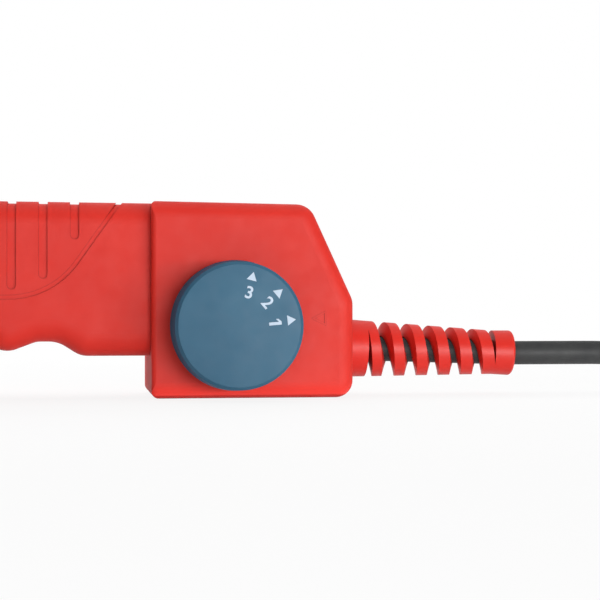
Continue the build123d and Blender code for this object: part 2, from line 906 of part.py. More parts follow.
# Cord clamp
with BuildPart() as cord_clamp:
    with BuildSketch(across(-clamp_parting)):
        with Locations((clamp_middle_x, clamp_middle_z)):
            RectangleRounded(clamp_length, clamp_height, clamp_corner)
    extrude(amount=clamp_thickness)
    with BuildSketch(Plane.YZ.offset(clamp_middle_x)):
        with Locations((0, clamp_middle_z)):
            Circle(cord_radius + passing_clearance)
    extrude(amount=clamp_length, both=True, mode=Mode.SUBTRACT)
    with BuildSketch(across(-clamp_parting)):
        with Locations(*clamp_screw_places):
            Circle(clamp_screw_radius + running_clearance)
    extrude(amount=clamp_thickness, mode=Mode.SUBTRACT)

cord_clamp.part.label = "cord_clamp"
export_step(cord_clamp.part, "parts/cord_clamp.step")

with BuildPart() as cord_clamp_screws:
    clamp_face = -clamp_parting - clamp_thickness
    with BuildSketch(across(clamp_face)):
        with Locations(*clamp_screw_places):
            Circle(clamp_screw_radius)
    extrude(amount=-clamp_screw_length)
    with BuildSketch(across(clamp_face)):
        with Locations(*clamp_screw_places):
            Circle(clamp_screw_head_radius)
    extrude(amount=clamp_screw_head_height)

cord_clamp_screws.part.label = "cord_clamp_screws"
export_step(cord_clamp_screws.part, "parts/cord_clamp_screws.step")

# Mains terminal and the cores of the lead
core_levels = [terminal_middle_z + step * terminal_pitch for step in (1, 0, -1)]
core_places = [(terminal_middle_y, core_level) for core_level in core_levels]
core_hole_radius = core_radius + 3 * running_clearance

with BuildPart() as mains_terminal:
    with BuildSketch(Plane.YZ.offset(terminal_front)):
        with Locations((terminal_middle_y, terminal_middle_z)):
            Rectangle(terminal_width, terminal_height)
    extrude(amount=terminal_length)
    with BuildSketch(Plane.YZ.offset(terminal_rear)):
        with Locations(*core_places):
            Circle(core_hole_radius)
    extrude(amount=-terminal_hole_depth, mode=Mode.SUBTRACT)
    with BuildSketch(Plane.YZ.offset(terminal_front)):
        with Locations(*core_places):
            Circle(earth_lead_radius + 3 * running_clearance)
    extrude(amount=terminal_hole_depth, mode=Mode.SUBTRACT)

mains_terminal.part.label = "mains_terminal"
export_step(mains_terminal.part, "parts/mains_terminal.step")


def corner_radii(points):
    """As large an arc at each inner point of a route as its two runs allow."""
    vectors = [Vector(point) for point in points]
    radii = []
    for before, here, after in zip(vectors, vectors[1:], vectors[2:]):
        turn = (here - before).get_angle(after - here)
        shorter = min((here - before).length, (after - here).length)
        radii.append(bend_share * shorter / math.tan(math.radians(turn / 2)))
    return radii


def core_route(number):
    """Route of one core, from the end of the sheath into its terminal."""
    sheath_end = relief_origin - relief_axis * (sheath_end_distance + passing_clearance / 2)
    start = sheath_end + Vector(0, 0, (1 - number) * core_pitch)
    level_z = core_levels[number]
    return [
        (start.X, start.Y, start.Z),
        (start.X - core_straight, start.Y, start.Z),
        (terminal_rear + core_straight, terminal_middle_y, level_z),
        (terminal_rear - terminal_hole_depth + passing_clearance, terminal_middle_y, level_z),
    ]


def wire(points, radius):
    """A round wire along straight runs that are joined by tangent arcs."""
    with BuildPart() as tube:
        with BuildLine() as route:
            FilletPolyline(*points, radius=corner_radii(points))
        with BuildSketch(Plane(origin=route.line @ 0, z_dir=route.line % 0)):
            Circle(radius)
        sweep()
    return tube.part


with BuildPart() as earth_core:
    add(wire(core_route(0), core_radius))

earth_core.part.label = "earth_core"
export_step(earth_core.part, "parts/earth_core.step")

with BuildPart() as neutral_core:
    add(wire(core_route(1), core_radius))

neutral_core.part.label = "neutral_core"
export_step(neutral_core.part, "parts/neutral_core.step")

with BuildPart() as live_core:
    add(wire(core_route(2), core_radius))

live_core.part.label = "live_core"
export_step(live_core.part, "parts/live_core.step")

# Control board and what stands on it
with BuildPart() as control_board:
    with BuildSketch(across(board_back)):
        with Locations((board_middle_x, board_middle_z)):
            Rectangle(board_length, board_height)
        with Locations(*board_screw_places):
            Circle(board_screw_radius + running_clearance, mode=Mode.SUBTRACT)
    extrude(amount=board_thickness)

control_board.part.label = "control_board"
export_step(control_board.part, "parts/control_board.step")

with BuildPart() as board_screws:
    with BuildSketch(across(board_face)):
        with Locations(*board_screw_places):
            Circle(board_screw_radius)
    extrude(amount=-board_screw_length)
    with BuildSketch(across(board_face)):
        with Locations(*board_screw_places):
            Circle(board_screw_head_radius)
    extrude(amount=board_screw_head_height)

board_screws.part.label = "board_screws"
export_step(board_screws.part, "parts/board_screws.step")

board_rear = board_front + board_length
board_top = board_bottom + board_height

with BuildPart() as heater_terminal:
    heater_terminal_rear = board_front + component_inset + heater_terminal_length
    with BuildSketch(across(board_face)):
        with Locations((heater_terminal_rear - heater_terminal_length / 2, neck_height)):
            Rectangle(heater_terminal_length, heater_terminal_height)
    extrude(amount=heater_terminal_depth)
    with BuildSketch(Plane.YZ.offset(board_front + component_inset)):
        with Locations((-lead_pitch, neck_height), (lead_pitch, neck_height)):
            Circle(heater_lead_radius + 2 * running_clearance)
        with Locations((0, neck_height)):
            Circle(sensor_lead_radius + 2 * running_clearance)
    extrude(amount=terminal_hole_depth, mode=Mode.SUBTRACT)

heater_terminal.part.label = "heater_terminal"
export_step(heater_terminal.part, "parts/heater_terminal.step")

with BuildPart() as relay:
    with BuildSketch(across(board_face)):
        with Locations(
            (heater_terminal_rear + component_inset + relay_length / 2,
             neck_height + heater_terminal_height / 2 - relay_height / 2)
        ):
            Rectangle(relay_length, relay_height)
    extrude(amount=relay_depth)
    fillet(relay.faces().sort_by(Axis.Y)[0].edges(), relay_round)

relay.part.label = "relay"
export_step(relay.part, "parts/relay.step")

with BuildPart() as capacitor:
    with BuildSketch(across(board_face)):
        with Locations(
            (heater_terminal_rear + component_inset + capacitor_radius,
             neck_height + heater_terminal_height / 2 + component_inset + capacitor_radius)
        ):
            Circle(capacitor_radius)
    extrude(amount=capacitor_length)
    fillet(capacitor.faces().sort_by(Axis.Y)[0].edges(), capacitor_round)

capacitor.part.label = "capacitor"
export_step(capacitor.part, "parts/capacitor.step")

heatsink_middle_x = board_rear - component_inset - heatsink_width / 2
heatsink_middle_z = board_top - component_inset - heatsink_height / 2

with BuildPart() as triac_heatsink:
    with BuildSketch(across(board_face)):
        with Locations((heatsink_middle_x, heatsink_middle_z)):
            Rectangle(heatsink_width, heatsink_height)
    extrude(amount=heatsink_base)
    with BuildSketch(across(board_face)):
        with Locations((heatsink_middle_x, heatsink_middle_z)):
            with GridLocations(heatsink_width - heatsink_fin, 0, 2, 1):
                Rectangle(heatsink_fin, heatsink_height)
    extrude(amount=heatsink_fin_rise)

triac_heatsink.part.label = "triac_heatsink"
export_step(triac_heatsink.part, "parts/triac_heatsink.step")

with BuildPart() as triac:
    with BuildSketch(across(board_face - heatsink_base)):
        with Locations((heatsink_middle_x, heatsink_middle_z)):
            Rectangle(heatsink_width - 2 * heatsink_fin - 2 * passing_clearance, triac_height)
    extrude(amount=triac_thickness)

triac.part.label = "triac"
export_step(triac.part, "parts/triac.step")

# Neck: two bars bolted to an insulating block inside the guard
neck_bolt_places = [(neck_bolt_x, neck_height + side * neck_bolt_spread) for side in (-1, 1)]
blade_bolt_places = [(blade_bolt_x, neck_height + side * blade_bolt_spread) for side in (-1, 1)]
bolt_hole_radius = bolt_radius + passing_clearance / 2
earth_x = bar_rear - earth_inset
earth_z = neck_height - earth_drop
lead_places = [(-lead_pitch, neck_height), (lead_pitch, neck_height)]

with BuildPart() as neck_block:
    with BuildSketch(Plane.YZ.offset(guard_inner_front)):
        with Locations((0, neck_height)):
            Rectangle(neck_block_thickness, neck_block_height)
        with Locations(*lead_places):
            Circle(heater_lead_radius + 2 * running_clearance, mode=Mode.SUBTRACT)
        with Locations((0, neck_height)):
            Circle(sensor_lead_radius + 2 * running_clearance, mode=Mode.SUBTRACT)
    extrude(amount=neck_block_length)
    with BuildSketch(Plane.XZ):
        with Locations(*neck_bolt_places):
            Circle(bolt_hole_radius)
    extrude(amount=neck_block_thickness, both=True, mode=Mode.SUBTRACT)

neck_block.part.label = "neck_block"
export_step(neck_block.part, "parts/neck_block.step")

with BuildPart() as neck_bar_left:
    with BuildSketch(across(-bar_inner)):
        with Locations(((bar_front + bar_rear) / 2, neck_height)):
            RectangleRounded(bar_rear - bar_front, bar_height, bar_corner)
        with Locations(*neck_bolt_places, *blade_bolt_places):
            Circle(bolt_hole_radius, mode=Mode.SUBTRACT)
    extrude(amount=bar_thickness)

neck_bar_left.part.label = "neck_bar_left"
export_step(neck_bar_left.part, "parts/neck_bar_left.step")

with BuildPart() as neck_bar_right:
    add(neck_bar_left.part)
    mirror(about=Plane.XZ, mode=Mode.REPLACE)
    with BuildSketch(across(bar_inner)):
        with Locations((earth_x, earth_z)):
            Circle(earth_screw_radius + press_clearance)
    extrude(amount=-bar_thickness, mode=Mode.SUBTRACT)

neck_bar_right.part.label = "neck_bar_right"
export_step(neck_bar_right.part, "parts/neck_bar_right.step")


def cross_bolts(places):
    """Hex bolts through both bars, with their heads on the dial side."""
    with BuildPart() as bolts:
        with BuildSketch(across(-bar_outer)):
            with Locations(*places):
                RegularPolygon(bolt_head_flats / 2, 6, major_radius=False)
        extrude(amount=bolt_head_height)
        with BuildSketch(across(-bar_outer)):
            with Locations(*places):
                Circle(bolt_radius)
        extrude(amount=-(2 * bar_outer + bolt_nut_height + bolt_point))
    return bolts.part


def cross_nuts(places):
    """Hex nuts on the ends of the cross bolts."""
    with BuildPart() as nuts:
        with BuildSketch(across(bar_outer)):
            with Locations(*places):
                RegularPolygon(bolt_head_flats / 2, 6, major_radius=False)
                Circle(bolt_radius + press_clearance, mode=Mode.SUBTRACT)
        extrude(amount=-bolt_nut_height)
    return nuts.part


with BuildPart() as neck_bolts:
    add(cross_bolts(neck_bolt_places))

neck_bolts.part.label = "neck_bolts"
export_step(neck_bolts.part, "parts/neck_bolts.step")

with BuildPart() as neck_nuts:
    add(cross_nuts(neck_bolt_places))

neck_nuts.part.label = "neck_nuts"
export_step(neck_nuts.part, "parts/neck_nuts.step")

with BuildPart() as blade_bolts:
    add(cross_bolts(blade_bolt_places))

blade_bolts.part.label = "blade_bolts"
export_step(blade_bolts.part, "parts/blade_bolts.step")

with BuildPart() as blade_nuts:
    add(cross_nuts(blade_bolt_places))

blade_nuts.part.label = "blade_nuts"
export_step(blade_nuts.part, "parts/blade_nuts.step")

with BuildPart() as heat_shield:
    with BuildSketch(Plane.YZ.offset(guard_front)):
        with Locations((0, guard_height / 2)):
            RectangleRounded(
                guard_width - 2 * shield_inset,
                guard_height - 2 * shield_inset,
                guard_corner - shield_inset,
            )
        with Locations((0, neck_height)):
            Rectangle(
                2 * (bar_outer + passing_clearance),
                bar_height + 2 * passing_clearance,
                mode=Mode.SUBTRACT,
            )
        with Locations(*shield_screw_places):
            Circle(shield_screw_radius + 2 * running_clearance, mode=Mode.SUBTRACT)
    extrude(amount=-shield_thickness)

heat_shield.part.label = "heat_shield"
export_step(heat_shield.part, "parts/heat_shield.step")

with BuildPart() as shield_screws:
    shield_face = guard_front - shield_thickness
    with BuildSketch(Plane.YZ.offset(shield_face)):
        with Locations(*shield_screw_places):
            Circle(shield_screw_radius)
    extrude(amount=shield_screw_length)
    with BuildSketch(Plane.YZ.offset(shield_face)):
        with Locations(*shield_screw_places):
            Circle(shield_screw_head_radius)
    extrude(amount=-shield_screw_head_height)
    head_faces = shield_screws.faces().filter_by(Axis.X).sort_by(Axis.X)[: len(shield_screw_places)]
    fillet(head_faces.edges(), shield_screw_head_round)

shield_screws.part.label = "shield_screws"
export_step(shield_screws.part, "parts/shield_screws.step")

# Heating blade
heater_places = [(0, neck_height - heater_spread), (0, neck_height + heater_spread)]
die_places = [(front_die_x, neck_height), (rear_die_x, neck_height)]
pad_length = blade_heel - bar_front

with BuildPart() as heating_blade:
    with BuildSketch(Plane.XZ) as blade_outline:
        with Locations(((blade_heel + blade_nose) / 2, neck_height)):
            Rectangle(blade_length, blade_height)
        fillet(blade_outline.vertices().group_by(Axis.X)[0], blade_nose_corner)
        fillet(blade_outline.vertices().group_by(Axis.X)[-1], blade_heel_corner)
    extrude(amount=blade_half, both=True)
    fillet(heating_blade.faces().filter_by(Axis.Y).edges(), blade_edge)
    with BuildSketch(Plane.XZ):
        with Locations(*die_places):
            Circle(die_hole_radius)
        with Locations(*blade_bolt_places):
            Circle(bolt_hole_radius)
    extrude(amount=blade_thickness, both=True, mode=Mode.SUBTRACT)
    with BuildSketch(Plane.YZ.offset(blade_heel)):
        with Locations(*heater_places):
            Circle(heater_radius + running_clearance)
    extrude(amount=-(heater_length - heater_stub + passing_clearance), mode=Mode.SUBTRACT)
    with BuildSketch(Plane.YZ.offset(blade_heel)):
        with Locations((0, neck_height)):
            Circle(sensor_radius + running_clearance)
    extrude(amount=-(sensor_length - heater_stub + passing_clearance), mode=Mode.SUBTRACT)

heating_blade.part.label = "heating_blade"
export_step(heating_blade.part, "parts/heating_blade.step")

with BuildPart() as insulator_pads:
    for pad_start in (-blade_half, blade_half + pad_thickness):
        with BuildSketch(across(pad_start)):
            with Locations(((blade_heel + bar_front) / 2, neck_height)):
                Rectangle(pad_length, bar_height)
            with Locations(*blade_bolt_places):
                Circle(bolt_hole_radius, mode=Mode.SUBTRACT)
        extrude(amount=pad_thickness)

insulator_pads.part.label = "insulator_pads"
export_step(insulator_pads.part, "parts/insulator_pads.step")

with BuildPart() as heater_cartridges:
    with BuildSketch(Plane.YZ.offset(blade_heel + heater_stub)):
        with Locations(*heater_places):
            Circle(heater_radius)
    extrude(amount=-heater_length)

heater_cartridges.part.label = "heater_cartridges"
export_step(heater_cartridges.part, "parts/heater_cartridges.step")

with BuildPart() as temperature_sensor:
    with BuildSketch(Plane.YZ.offset(blade_heel + heater_stub)):
        with Locations((0, neck_height)):
            Circle(sensor_radius)
    extrude(amount=-sensor_length)

temperature_sensor.part.label = "temperature_sensor"
export_step(temperature_sensor.part, "parts/temperature_sensor.step")

lead_start = board_front + component_inset + terminal_hole_depth - passing_clearance
lead_stop = blade_heel + heater_stub


def heater_lead_route(side):
    """Route of one heater lead, from the board through the neck block to its cartridge."""
    end_z = neck_height + side * heater_spread
    return [
        (lead_start, side * lead_pitch, neck_height),
        (guard_front - heater_lead_gap, side * lead_pitch, neck_height),
        (lead_stop + heater_lead_straight, 0, end_z),
        (lead_stop, 0, end_z),
    ]


with BuildPart() as heater_leads:
    for side in (-1, 1):
        add(wire(heater_lead_route(side), heater_lead_radius))

heater_leads.part.label = "heater_leads"
export_step(heater_leads.part, "parts/heater_leads.step")

with BuildPart() as sensor_lead:
    with BuildSketch(Plane.YZ.offset(lead_stop)):
        with Locations((0, neck_height)):
            Circle(sensor_lead_radius)
    extrude(amount=lead_start - lead_stop)

sensor_lead.part.label = "sensor_lead"
export_step(sensor_lead.part, "parts/sensor_lead.step")

# Welding dies: a socket for the pipe on the dial side and a spigot for the fitting on the other
with BuildPart() as socket_die:
    with BuildSketch(across(-blade_half)):
        with Locations((front_die_x, neck_height)):
            Circle(die_radius)
            Circle(die_bolt_radius + 2 * running_clearance, mode=Mode.SUBTRACT)
    extrude(amount=die_base + die_reach)
    with BuildSketch(across(-blade_half - die_base)):
        with Locations((front_die_x, neck_height)):
            Circle(pipe_radius)
    extrude(amount=die_reach, mode=Mode.SUBTRACT)
    with BuildSketch(across(-blade_half - die_base)):
        with Locations((front_die_x, neck_height)):
            Circle(die_bolt_head_radius + die_head_gap)
    extrude(amount=-die_head_recess, mode=Mode.SUBTRACT)
    socket_rims = socket_die.edges().filter_by(GeomType.CIRCLE).group_by(Axis.Y)
    chamfer(socket_rims[0], die_edge)

socket_die.part.label = "socket_die"
export_step(socket_die.part, "parts/socket_die.step")

with BuildPart() as spigot_die:
    with BuildSketch(across(blade_half)):
        with Locations((front_die_x, neck_height)):
            Circle(die_radius)
    extrude(amount=-die_base)
    with BuildSketch(across(blade_half + die_base)):
        with Locations((front_die_x, neck_height)):
            Circle(pipe_radius)
    extrude(amount=-die_reach)
    chamfer(spigot_die.edges().filter_by(GeomType.CIRCLE).group_by(Axis.Y)[-1], die_edge)
    with BuildSketch(across(blade_half)):
        with Locations((front_die_x, neck_height)):
            Circle(die_bolt_radius + press_clearance)
    extrude(amount=-die_thread_depth, mode=Mode.SUBTRACT)

spigot_die.part.label = "spigot_die"
export_step(spigot_die.part, "parts/spigot_die.step")

with BuildPart() as die_bolt:
    die_seat = -blade_half - die_base + die_head_recess
    with BuildSketch(across(die_seat)):
        with Locations((front_die_x, neck_height)):
            Circle(die_bolt_head_radius)
    extrude(amount=die_bolt_head_height)
    fillet(die_bolt.edges().filter_by(GeomType.CIRCLE).group_by(Axis.Y)[0], die_edge)
    with BuildSketch(across(die_seat - die_bolt_head_height)):
        with Locations((front_die_x, neck_height)):
            RegularPolygon(die_bolt_socket_flats / 2, 6, major_radius=False)
    extrude(amount=-die_bolt_socket_depth, mode=Mode.SUBTRACT)
    with BuildSketch(across(die_seat)):
        with Locations((front_die_x, neck_height)):
            Circle(die_bolt_radius)
    extrude(amount=-(blade_half + die_thread_depth - passing_clearance - die_seat))

die_bolt.part.label = "die_bolt"
export_step(die_bolt.part, "parts/die_bolt.step")

# Earth bond on the inner side of the right bar
lug_barrel_radius = earth_lead_radius + running_clearance + lug_barrel_wall
lug_barrel_y = bar_inner - lug_barrel_radius
lug_barrel_start = bar_rear + passing_clearance

with BuildPart() as earth_lug:
    with BuildSketch(across(bar_inner)):
        with Locations((earth_x, earth_z)):
            Circle(lug_radius)
        with Locations(((earth_x + lug_barrel_start + lug_overlap) / 2, earth_z)):
            Rectangle(lug_barrel_start + lug_overlap - earth_x, 2 * lug_barrel_radius)
        with Locations((earth_x, earth_z)):
            Circle(earth_screw_radius + 2 * running_clearance, mode=Mode.SUBTRACT)
    extrude(amount=lug_thickness)
    with BuildSketch(Plane.YZ.offset(lug_barrel_start)):
        with Locations((lug_barrel_y, earth_z)):
            Circle(lug_barrel_radius)
    extrude(amount=lug_barrel_length)
    with BuildSketch(Plane.YZ.offset(lug_barrel_start + lug_barrel_stop)):
        with Locations((lug_barrel_y, earth_z)):
            Circle(earth_lead_radius + running_clearance)
    extrude(amount=lug_barrel_length, mode=Mode.SUBTRACT)

earth_lug.part.label = "earth_lug"
export_step(earth_lug.part, "parts/earth_lug.step")

with BuildPart() as earth_screw:
    lug_face = bar_inner - lug_thickness
    with BuildSketch(across(lug_face)):
        with Locations((earth_x, earth_z)):
            Circle(earth_screw_head_radius)
    extrude(amount=earth_screw_head_height)
    with BuildSketch(across(lug_face)):
        with Locations((earth_x, earth_z)):
            Circle(earth_screw_radius)
    extrude(amount=-(lug_thickness + bar_thickness + earth_screw_point))

earth_screw.part.label = "earth_screw"
export_step(earth_screw.part, "parts/earth_screw.step")

earth_route = [
    (terminal_front + terminal_hole_depth - passing_clearance, terminal_middle_y, core_levels[0]),
    (terminal_front - earth_run, terminal_middle_y, core_levels[0]),
    (box_front - earth_rear_bend, lug_barrel_y + earth_bend_shift, earth_z),
    (box_front - earth_front_bend, lug_barrel_y, earth_z),
    (lug_barrel_start + lug_barrel_stop + passing_clearance, lug_barrel_y, earth_z),
]

with BuildPart() as earth_lead:
    add(wire(earth_route, earth_lead_radius))

earth_lead.part.label = "earth_lead"
export_step(earth_lead.part, "parts/earth_lead.step")

# Free mains lead: it sinks to the floor behind the tool and is wound into a hank of two layers
coil_level = coil_floor_gap + cord_radius
coil_top_level = coil_level + coil_layer_step
cord_diameter = 2 * cord_radius
coil_outer_radius = coil_inner_radius + coil_half_turns_in * coil_pitch / 2
lead_fall = relief_end.Z - coil_level
coil_center_x = relief_end.X + coil_distance
coil_entry_y = lead_bends[-1][1]
coil_center_y = coil_entry_y - coil_outer_radius
lead_points = [
    (relief_end.X, relief_end.Y, relief_end.Z),
    *[(relief_end.X + run, shift, relief_end.Z - share * lead_fall) for run, shift, share in lead_bends],
    (coil_center_x - coil_run / 2, coil_entry_y, coil_level),
]


def biarc(start, start_way, end, end_way):
    """Where two tangent arcs meet between two points with given headings, and the heading there."""
    chord = end - start
    both_ways = start_way + end_way
    square = 2 * (1 - start_way.dot(end_way))
    linear = chord.dot(both_ways)
    reach = (math.sqrt(linear * linear + square * chord.dot(chord)) - linear) / square
    leaving = start + start_way * reach
    arriving = end - end_way * reach
    return (leaving + arriving) * 0.5, (arriving - leaving).normalized()


def arc_middle(start, way, end):
    """Middle point of the arc that leaves start with a heading and ends at end."""
    chord = end - start
    lean = math.radians(way.get_angle(chord))
    bulge = (way - chord * (way.dot(chord) / chord.dot(chord))).normalized()
    return (start + end) * 0.5 + bulge * (chord.length / 2 * math.tan(lean / 2))


def coil_corner(number, reach):
    """Point of one run of the hank, reach past its middle in the direction of the run."""
    side = 1 if number % 2 == 0 else -1
    level = coil_level if number <= coil_half_turns_in else coil_top_level
    if number <= coil_half_turns_in:
        radius = coil_outer_radius - number * coil_pitch / 2
    else:
        radius = coil_inner_radius + (number - coil_half_turns_in - 1) * coil_pitch / 2
    return Vector(coil_center_x + side * reach, coil_center_y + side * radius, level)


with BuildPart() as power_cord:
    with BuildLine() as lead_path:
        FilletPolyline(*lead_points, radius=corner_radii(lead_points))
    with BuildSketch(Plane(origin=lead_path.line @ 0, z_dir=lead_path.line % 0)):
        Circle(cord_radius)
    sweep()

power_cord.part.label = "power_cord"
export_step(power_cord.part, "parts/power_cord.step")

half_turns = coil_half_turns_in + 1 + coil_half_turns_out

with BuildPart() as cord_coil:
    with BuildLine() as coil_path:
        for number in range(half_turns):
            begin = coil_corner(number, coil_run / 2)
            finish = coil_corner(number + 1, -coil_run / 2)
            heading = Vector(1 if number % 2 == 0 else -1, 0, 0)
            middle, middle_heading = biarc(begin, heading, finish, heading * -1)
            Line(coil_corner(number, -coil_run / 2), begin)
            ThreePointArc(begin, arc_middle(begin, heading, middle), middle)
            ThreePointArc(middle, arc_middle(middle, middle_heading, finish), finish)
    with BuildSketch(Plane(origin=coil_path.line @ 0, z_dir=coil_path.line % 0)):
        Circle(cord_radius)
    sweep()

cord_coil.part.label = "cord_coil"
export_step(cord_coil.part, "parts/cord_coil.step")

# The tail climbs onto the hank, where the plug lies across its upper runs
tail_start = coil_corner(half_turns, -coil_run / 2)
plug_bottom = coil_top_level + cord_radius + plug_lift
plug_start = Vector(
    tail_start.X + 2 * tail_run + tail_climb,
    coil_center_y + coil_inner_radius + coil_pitch,
    plug_bottom + plug_half_height,
)
tail_points = [
    (tail_start.X, tail_start.Y, tail_start.Z),
    (tail_start.X + tail_run, tail_start.Y, tail_start.Z),
    (plug_start.X - tail_run, plug_start.Y, plug_start.Z),
    (plug_start.X, plug_start.Y, plug_start.Z),
]

with BuildPart() as cord_tail:
    with BuildLine() as tail_path:
        FilletPolyline(*tail_points, radius=corner_radii(tail_points))
    with BuildSketch(Plane(origin=tail_path.line @ 0, z_dir=tail_path.line % 0)):
        Circle(cord_radius)
    sweep()

cord_tail.part.label = "cord_tail"
export_step(cord_tail.part, "parts/cord_tail.step")

with BuildPart() as coil_tie:
    tie_inner = coil_center_y - coil_inner_radius + cord_radius + tie_gap
    tie_outer = coil_center_y - coil_outer_radius - cord_radius - tie_gap
    tie_bottom = coil_floor_gap - 2 * running_clearance
    tie_top = coil_top_level + cord_radius + tie_gap
    with BuildSketch(Plane.YZ.offset(coil_center_x - tie_width / 2)):
        with Locations(((tie_inner + tie_outer) / 2, (tie_bottom + tie_top) / 2)):
            RectangleRounded(
                tie_inner - tie_outer + 2 * tie_thickness,
                tie_top - tie_bottom + 2 * tie_thickness,
                tie_corner + tie_thickness,
            )
            RectangleRounded(tie_inner - tie_outer, tie_top - tie_bottom, tie_corner, mode=Mode.SUBTRACT)
    extrude(amount=tie_width)

coil_tie.part.label = "coil_tie"
export_step(coil_tie.part, "parts/coil_tie.step")

# Earthed plug, lying on its flat side
plug_plane = Plane(origin=plug_start, x_dir=(1, 0, 0), z_dir=(0, -1, 0))
plug_length = plug_sleeve_length + plug_cone_length + plug_front_length
plug_front = plug_start.X + plug_length
plug_top = plug_bottom + 2 * plug_half_height
pin_places = [(plug_start.Y + side * plug_pin_pitch / 2, plug_start.Z) for side in (-1, 1)]

with BuildPart() as plug_body:
    with BuildSketch(plug_plane):
        with BuildLine():
            Polyline(
                (0, 0),
                (0, plug_sleeve_start_radius),
                (plug_sleeve_length, plug_sleeve_end_radius),
                (plug_sleeve_length + plug_cone_length, plug_radius),
                (plug_length, plug_radius),
                (plug_length, 0),
                close=True,
            )
        make_face()
    revolve(axis=Axis(plug_start, (1, 0, 0)))
    with BuildSketch(Plane.YZ.offset(plug_start.X)):
        with Locations((plug_start.Y, plug_start.Z)):
            Rectangle(3 * plug_radius, 2 * plug_half_height)
    extrude(amount=plug_length, mode=Mode.INTERSECT)
    fillet(plug_body.faces().sort_by(Axis.X)[-1].edges(), plug_edge)
    with BuildSketch(Plane.YZ.offset(plug_front)):
        with Locations(*pin_places):
            Circle(plug_pin_radius + press_clearance)
    extrude(amount=-plug_pin_seat, mode=Mode.SUBTRACT)
    strip_groove = plug_strip_thickness + plug_strip_inset + press_clearance
    with BuildSketch(Plane.YZ.offset(plug_front)):
        for strip_z in (plug_bottom + strip_groove / 2, plug_top - strip_groove / 2):
            with Locations((plug_start.Y, strip_z)):
                Rectangle(plug_strip_width + 2 * running_clearance, strip_groove)
    extrude(amount=-(plug_strip_length + plug_edge), mode=Mode.SUBTRACT)

plug_body.part.label = "plug_body"
export_step(plug_body.part, "parts/plug_body.step")

with BuildPart() as plug_pins:
    with BuildSketch(Plane.YZ.offset(plug_front - plug_pin_seat)):
        with Locations(*pin_places):
            Circle(plug_pin_radius)
    extrude(amount=plug_pin_seat + plug_pin_length)
    tips = plug_pins.edges().filter_by(GeomType.CIRCLE).group_by(Axis.X)[-1]
    fillet(tips, plug_pin_radius / 2)

plug_pins.part.label = "plug_pins"
export_step(plug_pins.part, "parts/plug_pins.step")

with BuildPart() as plug_earth_strips:
    strip_middle = plug_strip_inset + plug_strip_thickness / 2
    with BuildSketch(Plane.YZ.offset(plug_front - plug_edge)):
        for strip_z in (plug_bottom + strip_middle, plug_top - strip_middle):
            with Locations((plug_start.Y, strip_z)):
                Rectangle(plug_strip_width, plug_strip_thickness)
    extrude(amount=-plug_strip_length)

plug_earth_strips.part.label = "plug_earth_strips"
export_step(plug_earth_strips.part, "parts/plug_earth_strips.step")

# Proof of the lead: bend radii, lengths, volumes and the coil's least gap to itself
print("lead radii", [round(radius, 1) for radius in corner_radii(lead_points)])
section = math.pi * cord_radius ** 2
lead_length = lead_path.wire().length
coil_length = coil_path.wire().length
print("lead length", round(lead_length, 1), "volume ratio", power_cord.part.volume / section / lead_length)
print("coil length", round(coil_length, 1), "volume ratio", cord_coil.part.volume / section / coil_length)
tail_length = tail_path.wire().length
print("tail radii", [round(radius, 1) for radius in corner_radii(tail_points)])
print("free cord length", round(lead_length + coil_length + tail_length, 1))
coil_points = []
for edge in coil_path.edges():
    samples = max(2, math.ceil(edge.length / 2))
    coil_points += [edge.position_at(step / samples) for step in range(samples)]
coil_spots = [(point.X, point.Y, point.Z) for point in coil_points]
least_gap = min(
    math.dist(here, there)
    for place, here in enumerate(coil_spots)
    for there in coil_spots[place + 12:]
) - cord_diameter
print("coil least gap", round(least_gap, 3))
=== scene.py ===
import math

import bmesh
import bpy
from mathutils import Matrix, Vector


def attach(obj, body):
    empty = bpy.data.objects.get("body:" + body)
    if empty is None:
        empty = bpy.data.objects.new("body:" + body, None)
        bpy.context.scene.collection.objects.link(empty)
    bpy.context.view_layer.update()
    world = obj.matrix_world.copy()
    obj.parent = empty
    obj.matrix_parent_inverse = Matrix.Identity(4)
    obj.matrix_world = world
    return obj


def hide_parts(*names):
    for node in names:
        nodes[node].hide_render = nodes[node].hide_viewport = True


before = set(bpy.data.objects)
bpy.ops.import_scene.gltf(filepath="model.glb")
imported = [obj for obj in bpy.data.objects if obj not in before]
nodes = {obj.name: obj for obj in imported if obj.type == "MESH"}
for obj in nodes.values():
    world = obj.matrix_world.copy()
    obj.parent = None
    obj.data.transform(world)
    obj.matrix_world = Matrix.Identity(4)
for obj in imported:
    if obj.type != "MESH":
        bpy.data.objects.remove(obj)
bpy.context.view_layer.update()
MM = 0.001


def vec(x, y, z):
    """A point of the row frame given in millimetres."""
    return Vector((x, y, z)) * MM


# Camera at the photograph's viewing angle
CAMERA_PLACE = vec(-47.7, -495.1, 28.5)
CAMERA_TARGET = vec(21.9, 0.0, 28.5)
CAMERA_LENS = 99.05
SENSOR_WIDTH = 36.0
CLIP_START = 0.01

camera_data = bpy.data.cameras.new("camera")
camera_data.lens = CAMERA_LENS
camera_data.sensor_width = SENSOR_WIDTH
camera_data.clip_start = CLIP_START
camera = bpy.data.objects.new("camera", camera_data)
camera.location = CAMERA_PLACE
camera.rotation_euler = (CAMERA_TARGET - CAMERA_PLACE).to_track_quat("-Z", "Y").to_euler()
bpy.context.scene.collection.objects.link(camera)
bpy.context.scene.camera = camera

